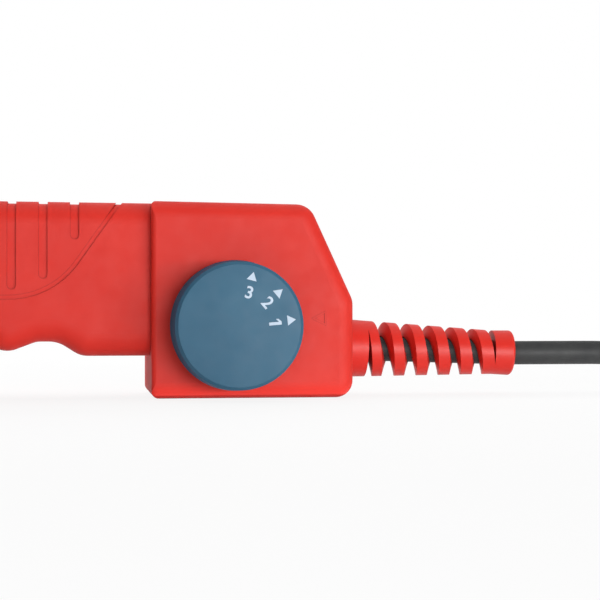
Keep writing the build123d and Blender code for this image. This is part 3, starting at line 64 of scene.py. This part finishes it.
# Mains lead: the route's points, then the turns of the hank, then the tail that ends in the plug
CORD_RADIUS = 3.65
CORD_ROUND_STEPS = 7
CORD_LENGTH_STEPS = 6
LEAD_POINTS = [
    (87.37, 0.0, 12.24),
    (103.6, 0.0, 12.24),
    (119.48, 0.0, 12.24),
    (134.48, 5.2, 10.66),
    (147.48, 16.0, 5.93),
    (162.48, 21.2, 4.35),
]
HANK_CENTER = (237.18, -14.6)
HANK_LOW = 4.35
HANK_HIGH = 13.55
HANK_PITCH = 9.2
HANK_OUTER = 35.8
HANK_INNER = 22.0
HANK_RUN = 110.0
HALF_TURNS_IN = 3
HALF_TURNS_OUT = 4
STEPS_PER_HALF_TURN = 8
TAIL_POINTS = [(204.18, 25.8, 13.55), (248.18, 16.6, 30.3), (270.18, 16.6, 30.3)]


def hank_point(number, share):
    """Control point of a half turn of the hank, so far round it as share says."""
    turned = number + share
    climb = min(max(turned - HALF_TURNS_IN, 0.0), 1.0)
    if turned <= HALF_TURNS_IN:
        radius = HANK_OUTER - turned * HANK_PITCH / 2
    else:
        radius = HANK_INNER + max(turned - HALF_TURNS_IN - 1, 0.0) * HANK_PITCH / 2
    side = 1 if number % 2 == 0 else -1
    angle = share * math.pi
    reach = radius / math.cos(math.pi / STEPS_PER_HALF_TURN / 2)
    height = HANK_LOW + (HANK_HIGH - HANK_LOW) * climb * climb * (3 - 2 * climb)
    return (
        HANK_CENTER[0] + side * (HANK_RUN / 2 + reach * math.sin(angle)),
        HANK_CENTER[1] + side * reach * math.cos(angle),
        height,
    )


half_turns = HALF_TURNS_IN + 1 + HALF_TURNS_OUT
hank_points = [
    hank_point(number, (step + 0.5) / STEPS_PER_HALF_TURN)
    for number in range(half_turns)
    for step in range(STEPS_PER_HALF_TURN)
]
cord_points = LEAD_POINTS + hank_points + TAIL_POINTS

cord_curve = bpy.data.curves.new("mains_lead", "CURVE")
cord_curve.dimensions = "3D"
cord_curve.bevel_depth = 1.0
cord_curve.bevel_resolution = CORD_ROUND_STEPS
cord_curve.resolution_u = CORD_LENGTH_STEPS
cord_curve.use_fill_caps = True
cord_spline = cord_curve.splines.new("NURBS")
cord_spline.points.add(len(cord_points) - 1)
for point, place in zip(cord_spline.points, cord_points):
    point.co = (*vec(*place), 1.0)
    point.radius = CORD_RADIUS * MM
cord_spline.order_u = 3
cord_spline.use_endpoint_u = True
mains_lead = bpy.data.objects.new("mains_lead", cord_curve)
bpy.context.scene.collection.objects.link(mains_lead)
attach(mains_lead, "tool")
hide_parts("power_cord", "cord_coil", "cord_tail")


# Materials
def srgb(red, green, blue):
    """Linear colour of an 8 bit display colour."""
    def channel(value):
        share = value / 255
        return share / 12.92 if share <= 0.04045 else ((share + 0.055) / 1.055) ** 2.4
    return (channel(red), channel(green), channel(blue), 1.0)


WHITE = (1.0, 1.0, 1.0, 1.0)

# Dial: its axis in millimetres, the rise of its dome per metre, and how much its wall and face mirror
DIAL_CENTER_Z = 21.2
DOME_RISE = 2.8
WALL_SPECULAR = 0.03
FACE_SPECULAR = 0.4
WALL_FACING = 0.2
FACE_FACING = 0.9

# Hollows: painted shade in hollows and seams, how far a wall counts, in millimetres, and how dark the painted
# shade in a deep one gets
HOLLOW_REACH = 0.5
SLOT_REACH = 2.5
HOLLOW_DEEP = 0.35
HOLLOW_OPEN = 0.85
HOLLOW_SHADE = 0.45
HOLLOW_SAMPLES = 8

# Moulded skin: scales of the colour's drift, the gloss and the slow swell, and the swell's depth
NOISE_LOW = 0.3
NOISE_HIGH = 0.7
DRIFT_SCALE = 55.0
GLOSS_SCALE = 240.0
SWELL_SCALE = 90.0
SWELL_DEPTH = 0.05
SWELL_STRENGTH = 0.35

# Pilot lamps
LENS_FACETS = 900.0
LENS_COAT = 0.6
LENS_COAT_ROUGHNESS = 0.06


class Shader:
    """A Principled material with procedural colour, roughness and relief in object space."""

    def __init__(self, name, roughness=0.5, metallic=0.0, specular=0.5):
        self.material = bpy.data.materials.new(name)
        self.material.use_nodes = True
        self.tree = self.material.node_tree
        self.bsdf = self.tree.nodes["Principled BSDF"]
        self.bsdf.inputs["Roughness"].default_value = roughness
        self.bsdf.inputs["Metallic"].default_value = metallic
        self.bsdf.inputs["Specular IOR Level"].default_value = specular
        self.coords = self.add("ShaderNodeTexCoord").outputs["Object"]
        self.last_normal = None

    def add(self, kind, **settings):
        """New node with the given settings."""
        node = self.tree.nodes.new(kind)
        for name, value in settings.items():
            setattr(node, name, value)
        return node

    def link(self, source, target):
        self.tree.links.new(source, target)

    def stretched(self, scale):
        """Object coordinates scaled by a different amount along each axis."""
        mapping = self.add("ShaderNodeMapping")
        mapping.inputs["Scale"].default_value = scale
        self.link(self.coords, mapping.inputs["Vector"])
        return mapping.outputs["Vector"]

    def noise(self, scale, detail=3.0, roughness=0.55, vector=None):
        """Noise in object space, or along other coordinates."""
        node = self.add("ShaderNodeTexNoise")
        node.inputs["Scale"].default_value = scale
        node.inputs["Detail"].default_value = detail
        node.inputs["Roughness"].default_value = roughness
        self.link(self.coords if vector is None else vector, node.inputs["Vector"])
        return node.outputs["Fac"]

    def ranged(self, value, low, high, least, most, curve="LINEAR"):
        """Value that goes from least to most as the given one goes from low to high."""
        node = self.add("ShaderNodeMapRange", interpolation_type=curve)
        node.inputs["From Min"].default_value = low
        node.inputs["From Max"].default_value = high
        node.inputs["To Min"].default_value = least
        node.inputs["To Max"].default_value = most
        self.link(value, node.inputs["Value"])
        return node.outputs["Result"]

    def between(self, fac, first, second, low=0.35, high=0.65):
        """Colour that goes from first to second as fac goes from low to high."""
        ramp = self.add("ShaderNodeValToRGB")
        ramp.color_ramp.elements[0].position = low
        ramp.color_ramp.elements[0].color = first
        ramp.color_ramp.elements[1].position = high
        ramp.color_ramp.elements[1].color = second
        self.link(fac, ramp.inputs["Fac"])
        return ramp.outputs["Color"]

    def colour(self, fac, first, second, low=0.35, high=0.65):
        """Base colour between two colours."""
        self.link(self.between(fac, first, second, low, high), self.bsdf.inputs["Base Color"])

    def painted_shade_colour(self, colour, reach):
        """Base colour with painted shade: it goes darker in hollows and seams narrower than the reach, in
        millimetres.
        """
        # Painted shade: ambient occlusion scales the base colour down where walls are near
        hollow = self.add("ShaderNodeAmbientOcclusion", samples=HOLLOW_SAMPLES)
        hollow.inputs["Distance"].default_value = reach * MM
        depth = self.ranged(hollow.outputs["AO"], HOLLOW_DEEP, HOLLOW_OPEN, HOLLOW_SHADE, 1.0)
        shade = self.add("ShaderNodeVectorMath", operation="SCALE")
        self.link(colour, shade.inputs[0])
        self.link(depth, shade.inputs["Scale"])
        self.link(shade.outputs["Vector"], self.bsdf.inputs["Base Color"])

    def roughness(self, fac, least, most):
        """Roughness that follows a noise."""
        self.link(self.ranged(fac, NOISE_LOW, NOISE_HIGH, least, most), self.bsdf.inputs["Roughness"])

    def relief(self, fac, depth_mm, strength=1.0):
        """Adds a fine relief of the given depth to the surface."""
        bump = self.add("ShaderNodeBump")
        bump.inputs["Strength"].default_value = strength
        bump.inputs["Distance"].default_value = depth_mm * MM
        self.link(fac, bump.inputs["Height"])
        if self.last_normal is not None:
            self.link(self.last_normal, bump.inputs["Normal"])
        self.last_normal = bump.outputs["Normal"]
        self.link(self.last_normal, self.bsdf.inputs["Normal"])

    def wave(self, scale, direction, profile="SIN", distortion=0.0, vector=None):
        """Bands in object space, or along other coordinates."""
        node = self.add("ShaderNodeTexWave", bands_direction=direction, wave_profile=profile)
        node.inputs["Scale"].default_value = scale
        node.inputs["Distortion"].default_value = distortion
        self.link(self.coords if vector is None else vector, node.inputs["Vector"])
        return node.outputs["Fac"]

    def domed(self, centre, rise):
        """Tilts the surface outwards round a centre line along y, as a shallow dome with a rise per metre."""
        offset = self.add("ShaderNodeVectorMath", operation="SUBTRACT")
        offset.inputs[1].default_value = centre
        across = self.add("ShaderNodeVectorMath", operation="MULTIPLY")
        across.inputs[1].default_value = (1.0, 0.0, 1.0)
        square = self.add("ShaderNodeVectorMath", operation="DOT_PRODUCT")
        height = self.add("ShaderNodeMath", operation="MULTIPLY")
        height.inputs[1].default_value = -rise
        self.link(self.coords, offset.inputs[0])
        self.link(offset.outputs["Vector"], across.inputs[0])
        self.link(across.outputs["Vector"], square.inputs[0])
        self.link(across.outputs["Vector"], square.inputs[1])
        self.link(square.outputs["Value"], height.inputs[0])
        self.relief(height.outputs["Value"], 1.0 / MM)

    def duller_walls(self, least, most):
        """Mirrors less on walls than on faces that look along y."""
        surface = self.add("ShaderNodeNewGeometry")
        parts = self.add("ShaderNodeSeparateXYZ")
        size = self.add("ShaderNodeMath", operation="ABSOLUTE")
        self.link(surface.outputs["True Normal"], parts.inputs["Vector"])
        self.link(parts.outputs["Y"], size.inputs[0])
        level = self.ranged(size.outputs["Value"], WALL_FACING, FACE_FACING, least, most)
        self.link(level, self.bsdf.inputs["Specular IOR Level"])

    def math(self, operation, first, second):
        """Result of a sum on two values."""
        node = self.add("ShaderNodeMath", operation=operation)
        self.link(first, node.inputs[0])
        self.link(second, node.inputs[1])
        return node.outputs["Value"]


def moulded(
    name, dark, light, least_rough, most_rough, grain=(2600.0, 0.012), specular=0.4, reach=HOLLOW_REACH
):
    """Moulded plastic: a slow drift of colour, painted shade in hollows and seams, uneven gloss and a fine
    eroded skin.
    """
    shader = Shader(name, specular=specular)
    grain_scale, grain_depth = grain
    # The base colour carries painted shade in hollows and seams within the reach
    shader.painted_shade_colour(shader.between(shader.noise(DRIFT_SCALE, 4.0), dark, light), reach)
    shader.roughness(shader.noise(GLOSS_SCALE, 5.0), least_rough, most_rough)
    shader.relief(shader.noise(grain_scale, 2.0), grain_depth)
    shader.relief(shader.noise(SWELL_SCALE, 2.0), SWELL_DEPTH, SWELL_STRENGTH)
    return shader


def metal(name, dark, light, least_rough, most_rough, brush):
    """Metal with fine lines drawn out along the axis whose brush scale is least."""
    shader = Shader(name, metallic=1.0)
    lines = shader.noise(1.0, 3.0, 0.6, shader.stretched(brush))
    shader.colour(shader.noise(120.0, 4.0), dark, light)
    shader.roughness(lines, least_rough, most_rough)
    shader.relief(lines, 0.01)
    return shader


casing_red = moulded("casing_red", srgb(209, 39, 27), srgb(214, 43, 30), 0.56, 0.66)
knob_blue = moulded("knob_blue", srgb(43, 90, 116), srgb(48, 96, 122), 0.5, 0.6)
knob_blue.domed((0.0, 0.0, DIAL_CENTER_Z * MM), DOME_RISE)
knob_blue.duller_walls(WALL_SPECULAR, FACE_SPECULAR)
# The strain relief's slots get painted shade over the longer slot reach
relief_red = moulded(
    "relief_red", srgb(208, 38, 27), srgb(214, 42, 30), 0.4, 0.48, (1800.0, 0.006), 0.38, SLOT_REACH
)
switch_black = moulded("switch_black", srgb(30, 30, 31), srgb(40, 40, 41), 0.42, 0.55)
shaft_white = moulded("shaft_white", srgb(214, 212, 203), srgb(224, 222, 214), 0.42, 0.52)
terminal_ivory = moulded("terminal_ivory", srgb(208, 204, 190), srgb(220, 216, 203), 0.4, 0.52)
neutral_blue = moulded("neutral_blue", srgb(38, 78, 160), srgb(46, 88, 172), 0.36, 0.48)
live_brown = moulded("live_brown", srgb(96, 54, 28), srgb(110, 64, 34), 0.36, 0.48)
relay_blue = moulded("relay_blue", srgb(34, 66, 132), srgb(42, 76, 146), 0.3, 0.4)
triac_black = moulded("triac_black", srgb(24, 24, 25), srgb(32, 32, 33), 0.4, 0.55)
print_white = moulded("print_white", srgb(183, 201, 219), srgb(189, 205, 222), 0.45, 0.6, (3200.0, 0.004))

cord_grey = Shader("cord_grey", specular=0.33)
cord_grey.colour(cord_grey.noise(160.0, 4.0), srgb(46, 47, 48), srgb(54, 55, 55))
cord_grey.roughness(cord_grey.noise(420.0, 4.0), 0.5, 0.62)
cord_grey.relief(cord_grey.noise(1500.0, 3.0), 0.03)

plug_black = Shader("plug_black")
plug_black.colour(plug_black.noise(140.0, 4.0), srgb(48, 48, 49), srgb(60, 60, 61))
plug_black.roughness(plug_black.noise(380.0, 4.0), 0.46, 0.62)
plug_black.relief(plug_black.noise(1900.0, 3.0), 0.04)

steel = metal("steel", srgb(176, 177, 178), srgb(200, 200, 200), 0.24, 0.36, (900.0, 900.0, 900.0))
black_oxide = metal("black_oxide", srgb(52, 52, 54), srgb(70, 70, 72), 0.34, 0.46, (900.0, 900.0, 900.0))
stainless = metal("stainless", srgb(186, 184, 180), srgb(204, 202, 198), 0.22, 0.34, (40.0, 2600.0, 2600.0))
blade_metal = metal(
    "blade_metal", srgb(182, 181, 178), srgb(204, 203, 200), 0.26, 0.4, (2200.0, 2200.0, 60.0)
)
drawn_can = metal("drawn_can", srgb(170, 171, 176), srgb(190, 191, 196), 0.26, 0.36, (2000.0, 60.0, 2000.0))
heatsink_metal = metal(
    "heatsink_metal", srgb(178, 178, 180), srgb(196, 196, 198), 0.3, 0.42, (60.0, 60.0, 2000.0)
)
pin_metal = metal("pin_metal", srgb(196, 192, 184), srgb(214, 210, 202), 0.18, 0.28, (60.0, 2400.0, 2400.0))
lug_brass = metal("lug_brass", srgb(190, 152, 78), srgb(208, 172, 96), 0.26, 0.38, (900.0, 900.0, 900.0))

die_coat = Shader("die_coat", specular=0.4)
die_coat.colour(die_coat.noise(900.0, 5.0, 0.7), srgb(40, 58, 62), srgb(62, 80, 84))
die_coat.roughness(die_coat.noise(600.0, 4.0), 0.34, 0.5)
die_coat.relief(die_coat.noise(1400.0, 3.0), 0.03)

board_green = Shader("board_green")
board_green.colour(
    board_green.wave(420.0, "X", "TRI", 2.0), srgb(22, 88, 46), srgb(34, 112, 60), 0.45, 0.55
)
board_green.roughness(board_green.noise(500.0), 0.3, 0.42)
board_green.relief(board_green.noise(1500.0), 0.02)

phenolic = Shader("phenolic")
phenolic.colour(phenolic.wave(180.0, "Y", "SIN", 3.0), srgb(88, 52, 26), srgb(122, 78, 42), 0.2, 0.8)
phenolic.roughness(phenolic.noise(300.0), 0.42, 0.56)
phenolic.relief(phenolic.noise(1100.0), 0.03)

earth_stripe = Shader("earth_stripe")
earth_stripe.colour(
    earth_stripe.wave(95.0, "DIAGONAL", "SIN", 0.4), srgb(58, 128, 48), srgb(206, 196, 52), 0.55, 0.62
)
earth_stripe.roughness(earth_stripe.noise(400.0), 0.36, 0.48)
earth_stripe.relief(earth_stripe.noise(1600.0), 0.015)

fibre_sleeve = Shader("fibre_sleeve", specular=0.3)
braid = fibre_sleeve.math(
    "MULTIPLY",
    fibre_sleeve.wave(260.0, "X", "SIN", 0.0, fibre_sleeve.stretched((1.0, 1.0, 1.6))),
    fibre_sleeve.wave(260.0, "DIAGONAL", "SIN", 0.0),
)
fibre_sleeve.colour(braid, srgb(178, 168, 138), srgb(226, 218, 192), 0.1, 0.6)
fibre_sleeve.roughness(fibre_sleeve.noise(700.0), 0.66, 0.82)
fibre_sleeve.relief(braid, 0.12)

strap_weave = Shader("strap_weave", specular=0.25)
weave = strap_weave.math(
    "MAXIMUM", strap_weave.wave(330.0, "Y"), strap_weave.wave(330.0, "DIAGONAL", "SIN", 1.0)
)
strap_weave.colour(weave, srgb(20, 20, 21), srgb(46, 46, 48), 0.3, 0.95)
strap_weave.roughness(strap_weave.noise(800.0), 0.7, 0.86)
strap_weave.relief(weave, 0.12)


def lens(name, dark, light):
    """Coloured clear lens of a pilot lamp with small facets behind its skin."""
    shader = Shader(name, roughness=0.12)
    facets = shader.add("ShaderNodeTexVoronoi")
    facets.inputs["Scale"].default_value = LENS_FACETS
    shader.link(shader.coords, facets.inputs["Vector"])
    shader.colour(facets.outputs["Distance"], light, dark, 0.1, 0.7)
    shader.roughness(shader.noise(500.0), 0.1, 0.18)
    shader.bsdf.inputs["Coat Weight"].default_value = LENS_COAT
    shader.bsdf.inputs["Coat Roughness"].default_value = LENS_COAT_ROUGHNESS
    return shader


red_lens = lens("red_lens", srgb(150, 18, 14), srgb(232, 60, 44))
green_lens = lens("green_lens", srgb(22, 110, 44), srgb(74, 196, 96))

looks = {
    casing_red: ["left_shell", "right_shell"],
    knob_blue: ["dial_knob"],
    relief_red: ["strain_relief"],
    cord_grey: ["cord_inlet"],
    plug_black: ["plug_body"],
    pin_metal: ["plug_pins", "plug_earth_strips"],
    steel: [
        "shell_screws", "selector_washer", "selector_nut", "cord_clamp_screws", "board_screws", "neck_bolts",
        "neck_nuts", "blade_bolts", "blade_nuts", "shield_screws", "earth_screw",
    ],
    black_oxide: ["die_bolt"],
    stainless: ["neck_bar_left", "neck_bar_right", "heat_shield", "heater_cartridges", "temperature_sensor"],
    blade_metal: ["heating_blade"],
    die_coat: ["socket_die", "spigot_die"],
    switch_black: ["selector_switch", "cord_clamp"],
    shaft_white: ["selector_shaft"],
    terminal_ivory: ["mains_terminal", "heater_terminal"],
    earth_stripe: ["earth_core", "earth_lead"],
    neutral_blue: ["neutral_core"],
    live_brown: ["live_core"],
    board_green: ["control_board"],
    relay_blue: ["relay"],
    triac_black: ["triac"],
    drawn_can: ["capacitor"],
    heatsink_metal: ["triac_heatsink"],
    phenolic: ["neck_block", "insulator_pads"],
    fibre_sleeve: ["heater_leads", "sensor_lead"],
    lug_brass: ["earth_lug"],
    red_lens: ["power_lamp"],
    green_lens: ["ready_lamp"],
}
for shader, names in looks.items():
    for name in names:
        nodes[name].data.materials.clear()
        nodes[name].data.materials.append(shader.material)
cord_curve.materials.append(cord_grey.material)


def new_piece(name, mesh, shader, body):
    """Adds a mesh to the scene as a piece that rides on a body."""
    piece = bpy.data.objects.new(name, mesh)
    bpy.context.scene.collection.objects.link(piece)
    mesh.materials.append(shader.material)
    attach(piece, body)
    return piece


# Printed marks of the dial: three numbers, each with an arrow outside it
DIAL_FACE_Y = -34.9
PRINT_THICKNESS = 0.05
ARROW_TIPS = {"1": (6.6, 15.95), "2": (40.6, 15.9), "3": (75.6, 15.65)}
NUMBER_PLACES = {"1": (5.1, 10.05), "2": (40.0, 10.3), "3": (74.4, 9.8)}
ARROW_LENGTH = 2.4
ARROW_WIDTH = 2.9
NUMBER_HEIGHT = 3.55
NUMBER_WEIGHT = 0.02
TEXT_DEPTH = 0.05
ONE_STEM = 0.85
ONE_FLAG_REACH = 0.85
ONE_FLAG_DROP = 0.8
ONE_FLAG_THICKNESS = 0.75


def dial_frame(angle):
    """Matrix of a frame on the dial's face whose y axis points outwards at an angle, in metres."""
    radial = Vector((math.cos(math.radians(angle)), 0.0, math.sin(math.radians(angle))))
    normal = Vector((0.0, -1.0, 0.0))
    side = radial.cross(normal)
    turn = Matrix((side, radial, normal)).transposed().to_4x4()
    return Matrix.Translation(vec(0.0, DIAL_FACE_Y, DIAL_CENTER_Z)) @ turn


def thick_outline(name, outline):
    """Mesh of a flat outline in x and y, given in millimetres, with the print's thickness along z."""
    form = bmesh.new()
    low = [form.verts.new(vec(x, y, 0.0)) for x, y in outline]
    face = form.faces.new(low)
    raised = bmesh.ops.extrude_face_region(form, geom=[face])
    moved = [part for part in raised["geom"] if isinstance(part, bmesh.types.BMVert)]
    bmesh.ops.translate(form, verts=moved, vec=vec(0.0, 0.0, PRINT_THICKNESS))
    bmesh.ops.recalc_face_normals(form, faces=form.faces)
    mesh = bpy.data.meshes.new(name)
    form.to_mesh(mesh)
    form.free()
    return mesh


def number_mesh(name, text):
    """Mesh of one printed number, centred, with its height along y."""
    font = bpy.data.curves.new(name, "FONT")
    font.body = text
    font.align_x = "CENTER"
    font.size = 1.0
    font.offset = NUMBER_WEIGHT
    font.extrude = TEXT_DEPTH
    holder = bpy.data.objects.new(name + "_text", font)
    mesh = bpy.data.meshes.new_from_object(holder)
    bpy.data.objects.remove(holder)
    mesh.name = name
    heights = [vertex.co.y for vertex in mesh.vertices]
    widths = [vertex.co.x for vertex in mesh.vertices]
    depths = [vertex.co.z for vertex in mesh.vertices]
    scale = NUMBER_HEIGHT * MM / (max(heights) - min(heights))
    middle = Vector(((max(widths) + min(widths)) / 2, (max(heights) + min(heights)) / 2, min(depths)))
    flat = PRINT_THICKNESS * MM / (max(depths) - min(depths))
    for vertex in mesh.vertices:
        shifted = vertex.co - middle
        vertex.co = (shifted.x * scale, shifted.y * scale, shifted.z * flat)
    return mesh


def one_mesh(name):
    """Mesh of a printed figure one with a flag and no foot, centred, with its height along y."""
    half = NUMBER_HEIGHT / 2
    right = ONE_STEM / 2 + ONE_FLAG_REACH / 4
    left = right - ONE_STEM
    tip = right - ONE_STEM - ONE_FLAG_REACH
    outline = [
        (left, -half),
        (right, -half),
        (right, half),
        (left, half),
        (tip, half - ONE_FLAG_DROP),
        (tip, half - ONE_FLAG_DROP - ONE_FLAG_THICKNESS),
        (left, half - ONE_FLAG_THICKNESS),
    ]
    return thick_outline(name, outline)


for text, (angle, tip) in ARROW_TIPS.items():
    arrow_outline = [
        (-ARROW_WIDTH / 2, tip - ARROW_LENGTH),
        (ARROW_WIDTH / 2, tip - ARROW_LENGTH),
        (0.0, tip),
    ]
    arrow_mesh = thick_outline("dial_arrow_" + text, arrow_outline)
    arrow_mesh.transform(dial_frame(angle))
    new_piece("dial_arrow_" + text, arrow_mesh, print_white, "dial")

for text, (angle, reach) in NUMBER_PLACES.items():
    number = one_mesh("dial_number_1") if text == "1" else number_mesh("dial_number_" + text, text)
    number.transform(dial_frame(angle) @ Matrix.Translation(vec(0.0, reach, 0.0)))
    new_piece("dial_number_" + text, number, print_white, "dial")

# Strap round one side of the hank
STRAP_LOW = (231.18, -54.9, 0.15)
STRAP_HIGH = (243.18, -32.1, 18.1)
STRAP_THICKNESS = 0.5
STRAP_CORNER = 3.0
STRAP_STEPS = 6


def strap_loop(inset):
    """Points round the strap in Y and Z, drawn in by inset, in millimetres."""
    radius = STRAP_CORNER - inset
    low_y = STRAP_LOW[1] + STRAP_CORNER
    high_y = STRAP_HIGH[1] - STRAP_CORNER
    low_z = STRAP_LOW[2] + STRAP_CORNER
    high_z = STRAP_HIGH[2] - STRAP_CORNER
    corners = [(high_y, high_z, 0), (low_y, high_z, 90), (low_y, low_z, 180), (high_y, low_z, 270)]
    points = []
    for corner_y, corner_z, start in corners:
        for step in range(STRAP_STEPS + 1):
            angle = math.radians(start + 90 * step / STRAP_STEPS)
            points.append((corner_y + radius * math.cos(angle), corner_z + radius * math.sin(angle)))
    return points


def band(name, inner, outer, low_x, high_x):
    """Closed band between an inner and an outer row of points in Y and Z, in millimetres."""
    form = bmesh.new()
    rings = []
    for near, far in zip(inner, outer):
        rings.append([
            form.verts.new(vec(low_x, *near)),
            form.verts.new(vec(high_x, *near)),
            form.verts.new(vec(high_x, *far)),
            form.verts.new(vec(low_x, *far)),
        ])
    for here, after in zip(rings, rings[1:] + rings[:1]):
        for side in range(4):
            other = (side + 1) % 4
            form.faces.new((here[side], here[other], after[other], after[side]))
    bmesh.ops.recalc_face_normals(form, faces=form.faces)
    mesh = bpy.data.meshes.new(name)
    form.to_mesh(mesh)
    form.free()
    return mesh


strap_mesh = band(
    "lead_strap", strap_loop(STRAP_THICKNESS), strap_loop(0.0), STRAP_LOW[0], STRAP_HIGH[0]
)
lead_strap = new_piece("lead_strap", strap_mesh, strap_weave, "tool")
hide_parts("coil_tie")

# Floor: pale and lit, shown whiter to the camera and in mirrored rays, and plain white far from the object
FLOOR_SIZE = 12.0
FLOOR_DROP = 0.0002
FLOOR_DARK = (0.8, 0.8, 0.8, 1.0)
FLOOR_LIGHT = (0.82, 0.82, 0.82, 1.0)
SHOWN_WHITE = 0.88
WHITE_FROM = 0.22
WHITE_TO = 0.52

floor_mesh = bpy.data.meshes.new("floor")
half_floor = FLOOR_SIZE / 2
floor_corners = [
    (-half_floor, -half_floor, 0),
    (half_floor, -half_floor, 0),
    (half_floor, half_floor, 0),
    (-half_floor, half_floor, 0),
]
floor_mesh.from_pydata(floor_corners, [], [(0, 1, 2, 3)])
floor = bpy.data.objects.new("floor", floor_mesh)
floor.location.z = -FLOOR_DROP
bpy.context.scene.collection.objects.link(floor)

floor_shader = Shader("floor_pale", roughness=0.8, specular=0.1)
floor_shader.colour(floor_shader.noise(6.0), FLOOR_DARK, FLOOR_LIGHT)
distance = floor_shader.add("ShaderNodeVectorMath", operation="LENGTH")
floor_shader.link(floor_shader.coords, distance.inputs[0])
fade = floor_shader.ranged(distance.outputs["Value"], WHITE_FROM, WHITE_TO, SHOWN_WHITE, 1.0, "SMOOTHSTEP")
seen = floor_shader.add("ShaderNodeLightPath").outputs
mirrored_ray = floor_shader.math("MAXIMUM", seen["Is Glossy Ray"], seen["Is Transmission Ray"])
shown_ray = floor_shader.math("MAXIMUM", seen["Is Camera Ray"], mirrored_ray)
share = floor_shader.math("MULTIPLY", shown_ray, fade)
white = floor_shader.add("ShaderNodeEmission")
white.inputs["Color"].default_value = WHITE
blend = floor_shader.add("ShaderNodeMixShader")
floor_shader.link(share, blend.inputs["Fac"])
floor_shader.link(floor_shader.bsdf.outputs["BSDF"], blend.inputs[1])
floor_shader.link(white.outputs["Emission"], blend.inputs[2])
floor_shader.link(blend.outputs["Shader"], floor_shader.tree.nodes["Material Output"].inputs["Surface"])
floor_mesh.materials.append(floor_shader.material)


def softbox(name, place, target, width, height, power):
    """Rectangular area light that the camera doesn't see."""
    lamp = bpy.data.lights.new(name, "AREA")
    lamp.shape = "RECTANGLE"
    lamp.size = width
    lamp.size_y = height
    lamp.energy = power
    light = bpy.data.objects.new(name, lamp)
    light.location = place
    light.rotation_euler = (Vector(target) - Vector(place)).to_track_quat("-Z", "Y").to_euler()
    light.visible_camera = False
    bpy.context.scene.collection.objects.link(light)
    return light


# Lights: a low key far off at the right of the dial side, a nearer strip at the right just over the floor,
# a strip in front, two softboxes overhead and above the backdrop that show as no highlight, and a small
# lit card on the floor at the box's foot
softbox("key", (0.35, -1.1, 0.08), (0.0, 0.0, 0.025), 0.5, 0.14, 5.3)
softbox("low_key", (0.36, -0.42, 0.03), (0.0, -0.02, 0.025), 0.25, 0.05, 0.95)
softbox("front_strip", (-0.1, -1.2, 0.12), (-0.05, 0.0, 0.025), 1.0, 0.2, 1.9)
overhead = softbox("overhead", (-0.05, 0.06, 0.8), (-0.05, 0.0, 0.03), 1.2, 0.8, 5.2)
overhead.visible_glossy = False
top_back = softbox("top_back", (-0.05, 0.75, 0.6), (-0.05, 0.0, 0.03), 1.4, 0.5, 8.0)
top_back.visible_glossy = False
softbox("card", (0.007, -0.0235, 0.001), (0.007, -0.0235, 0.1), 0.06, 0.013, 0.0012)

# World: a white backdrop behind the object for mirrored rays, dimmer in front, and plain white to the camera
AMBIENT = 0.05
MIRRORED_FRONT = 0.3
MIRRORED_BACK = 0.6
BACKDROP_FROM = -0.1
BACKDROP_TO = 0.4

world = bpy.data.worlds.new("studio")
bpy.context.scene.world = world
world.use_nodes = True
world_nodes = world.node_tree.nodes
ambient = world_nodes["Background"]
mirrored = world_nodes.new("ShaderNodeBackground")
plain = world_nodes.new("ShaderNodeBackground")
for background in (ambient, mirrored, plain):
    background.inputs["Color"].default_value = WHITE
ambient.inputs["Strength"].default_value = AMBIENT
direction = world_nodes.new("ShaderNodeTexCoord")
split = world_nodes.new("ShaderNodeSeparateXYZ")
backdrop = world_nodes.new("ShaderNodeMapRange")
backdrop.interpolation_type = "SMOOTHSTEP"
backdrop.inputs["From Min"].default_value = BACKDROP_FROM
backdrop.inputs["From Max"].default_value = BACKDROP_TO
backdrop.inputs["To Min"].default_value = MIRRORED_FRONT
backdrop.inputs["To Max"].default_value = MIRRORED_BACK
ray = world_nodes.new("ShaderNodeLightPath").outputs
mirror_ray = world_nodes.new("ShaderNodeMath")
mirror_ray.operation = "MAXIMUM"
lit_or_mirrored = world_nodes.new("ShaderNodeMixShader")
choice = world_nodes.new("ShaderNodeMixShader")
world_links = [
    (direction.outputs["Generated"], split.inputs["Vector"]),
    (split.outputs["Y"], backdrop.inputs["Value"]),
    (backdrop.outputs["Result"], mirrored.inputs["Strength"]),
    (ray["Is Glossy Ray"], mirror_ray.inputs[0]),
    (ray["Is Transmission Ray"], mirror_ray.inputs[1]),
    (mirror_ray.outputs["Value"], lit_or_mirrored.inputs["Fac"]),
    (ambient.outputs["Background"], lit_or_mirrored.inputs[1]),
    (mirrored.outputs["Background"], lit_or_mirrored.inputs[2]),
    (ray["Is Camera Ray"], choice.inputs["Fac"]),
    (lit_or_mirrored.outputs["Shader"], choice.inputs[1]),
    (plain.outputs["Background"], choice.inputs[2]),
    (choice.outputs["Shader"], world_nodes["World Output"].inputs["Surface"]),
]
for source, target in world_links:
    world.node_tree.links.new(source, target)

bpy.context.scene.view_settings.view_transform = "Standard"

bpy.context.view_layer.update()
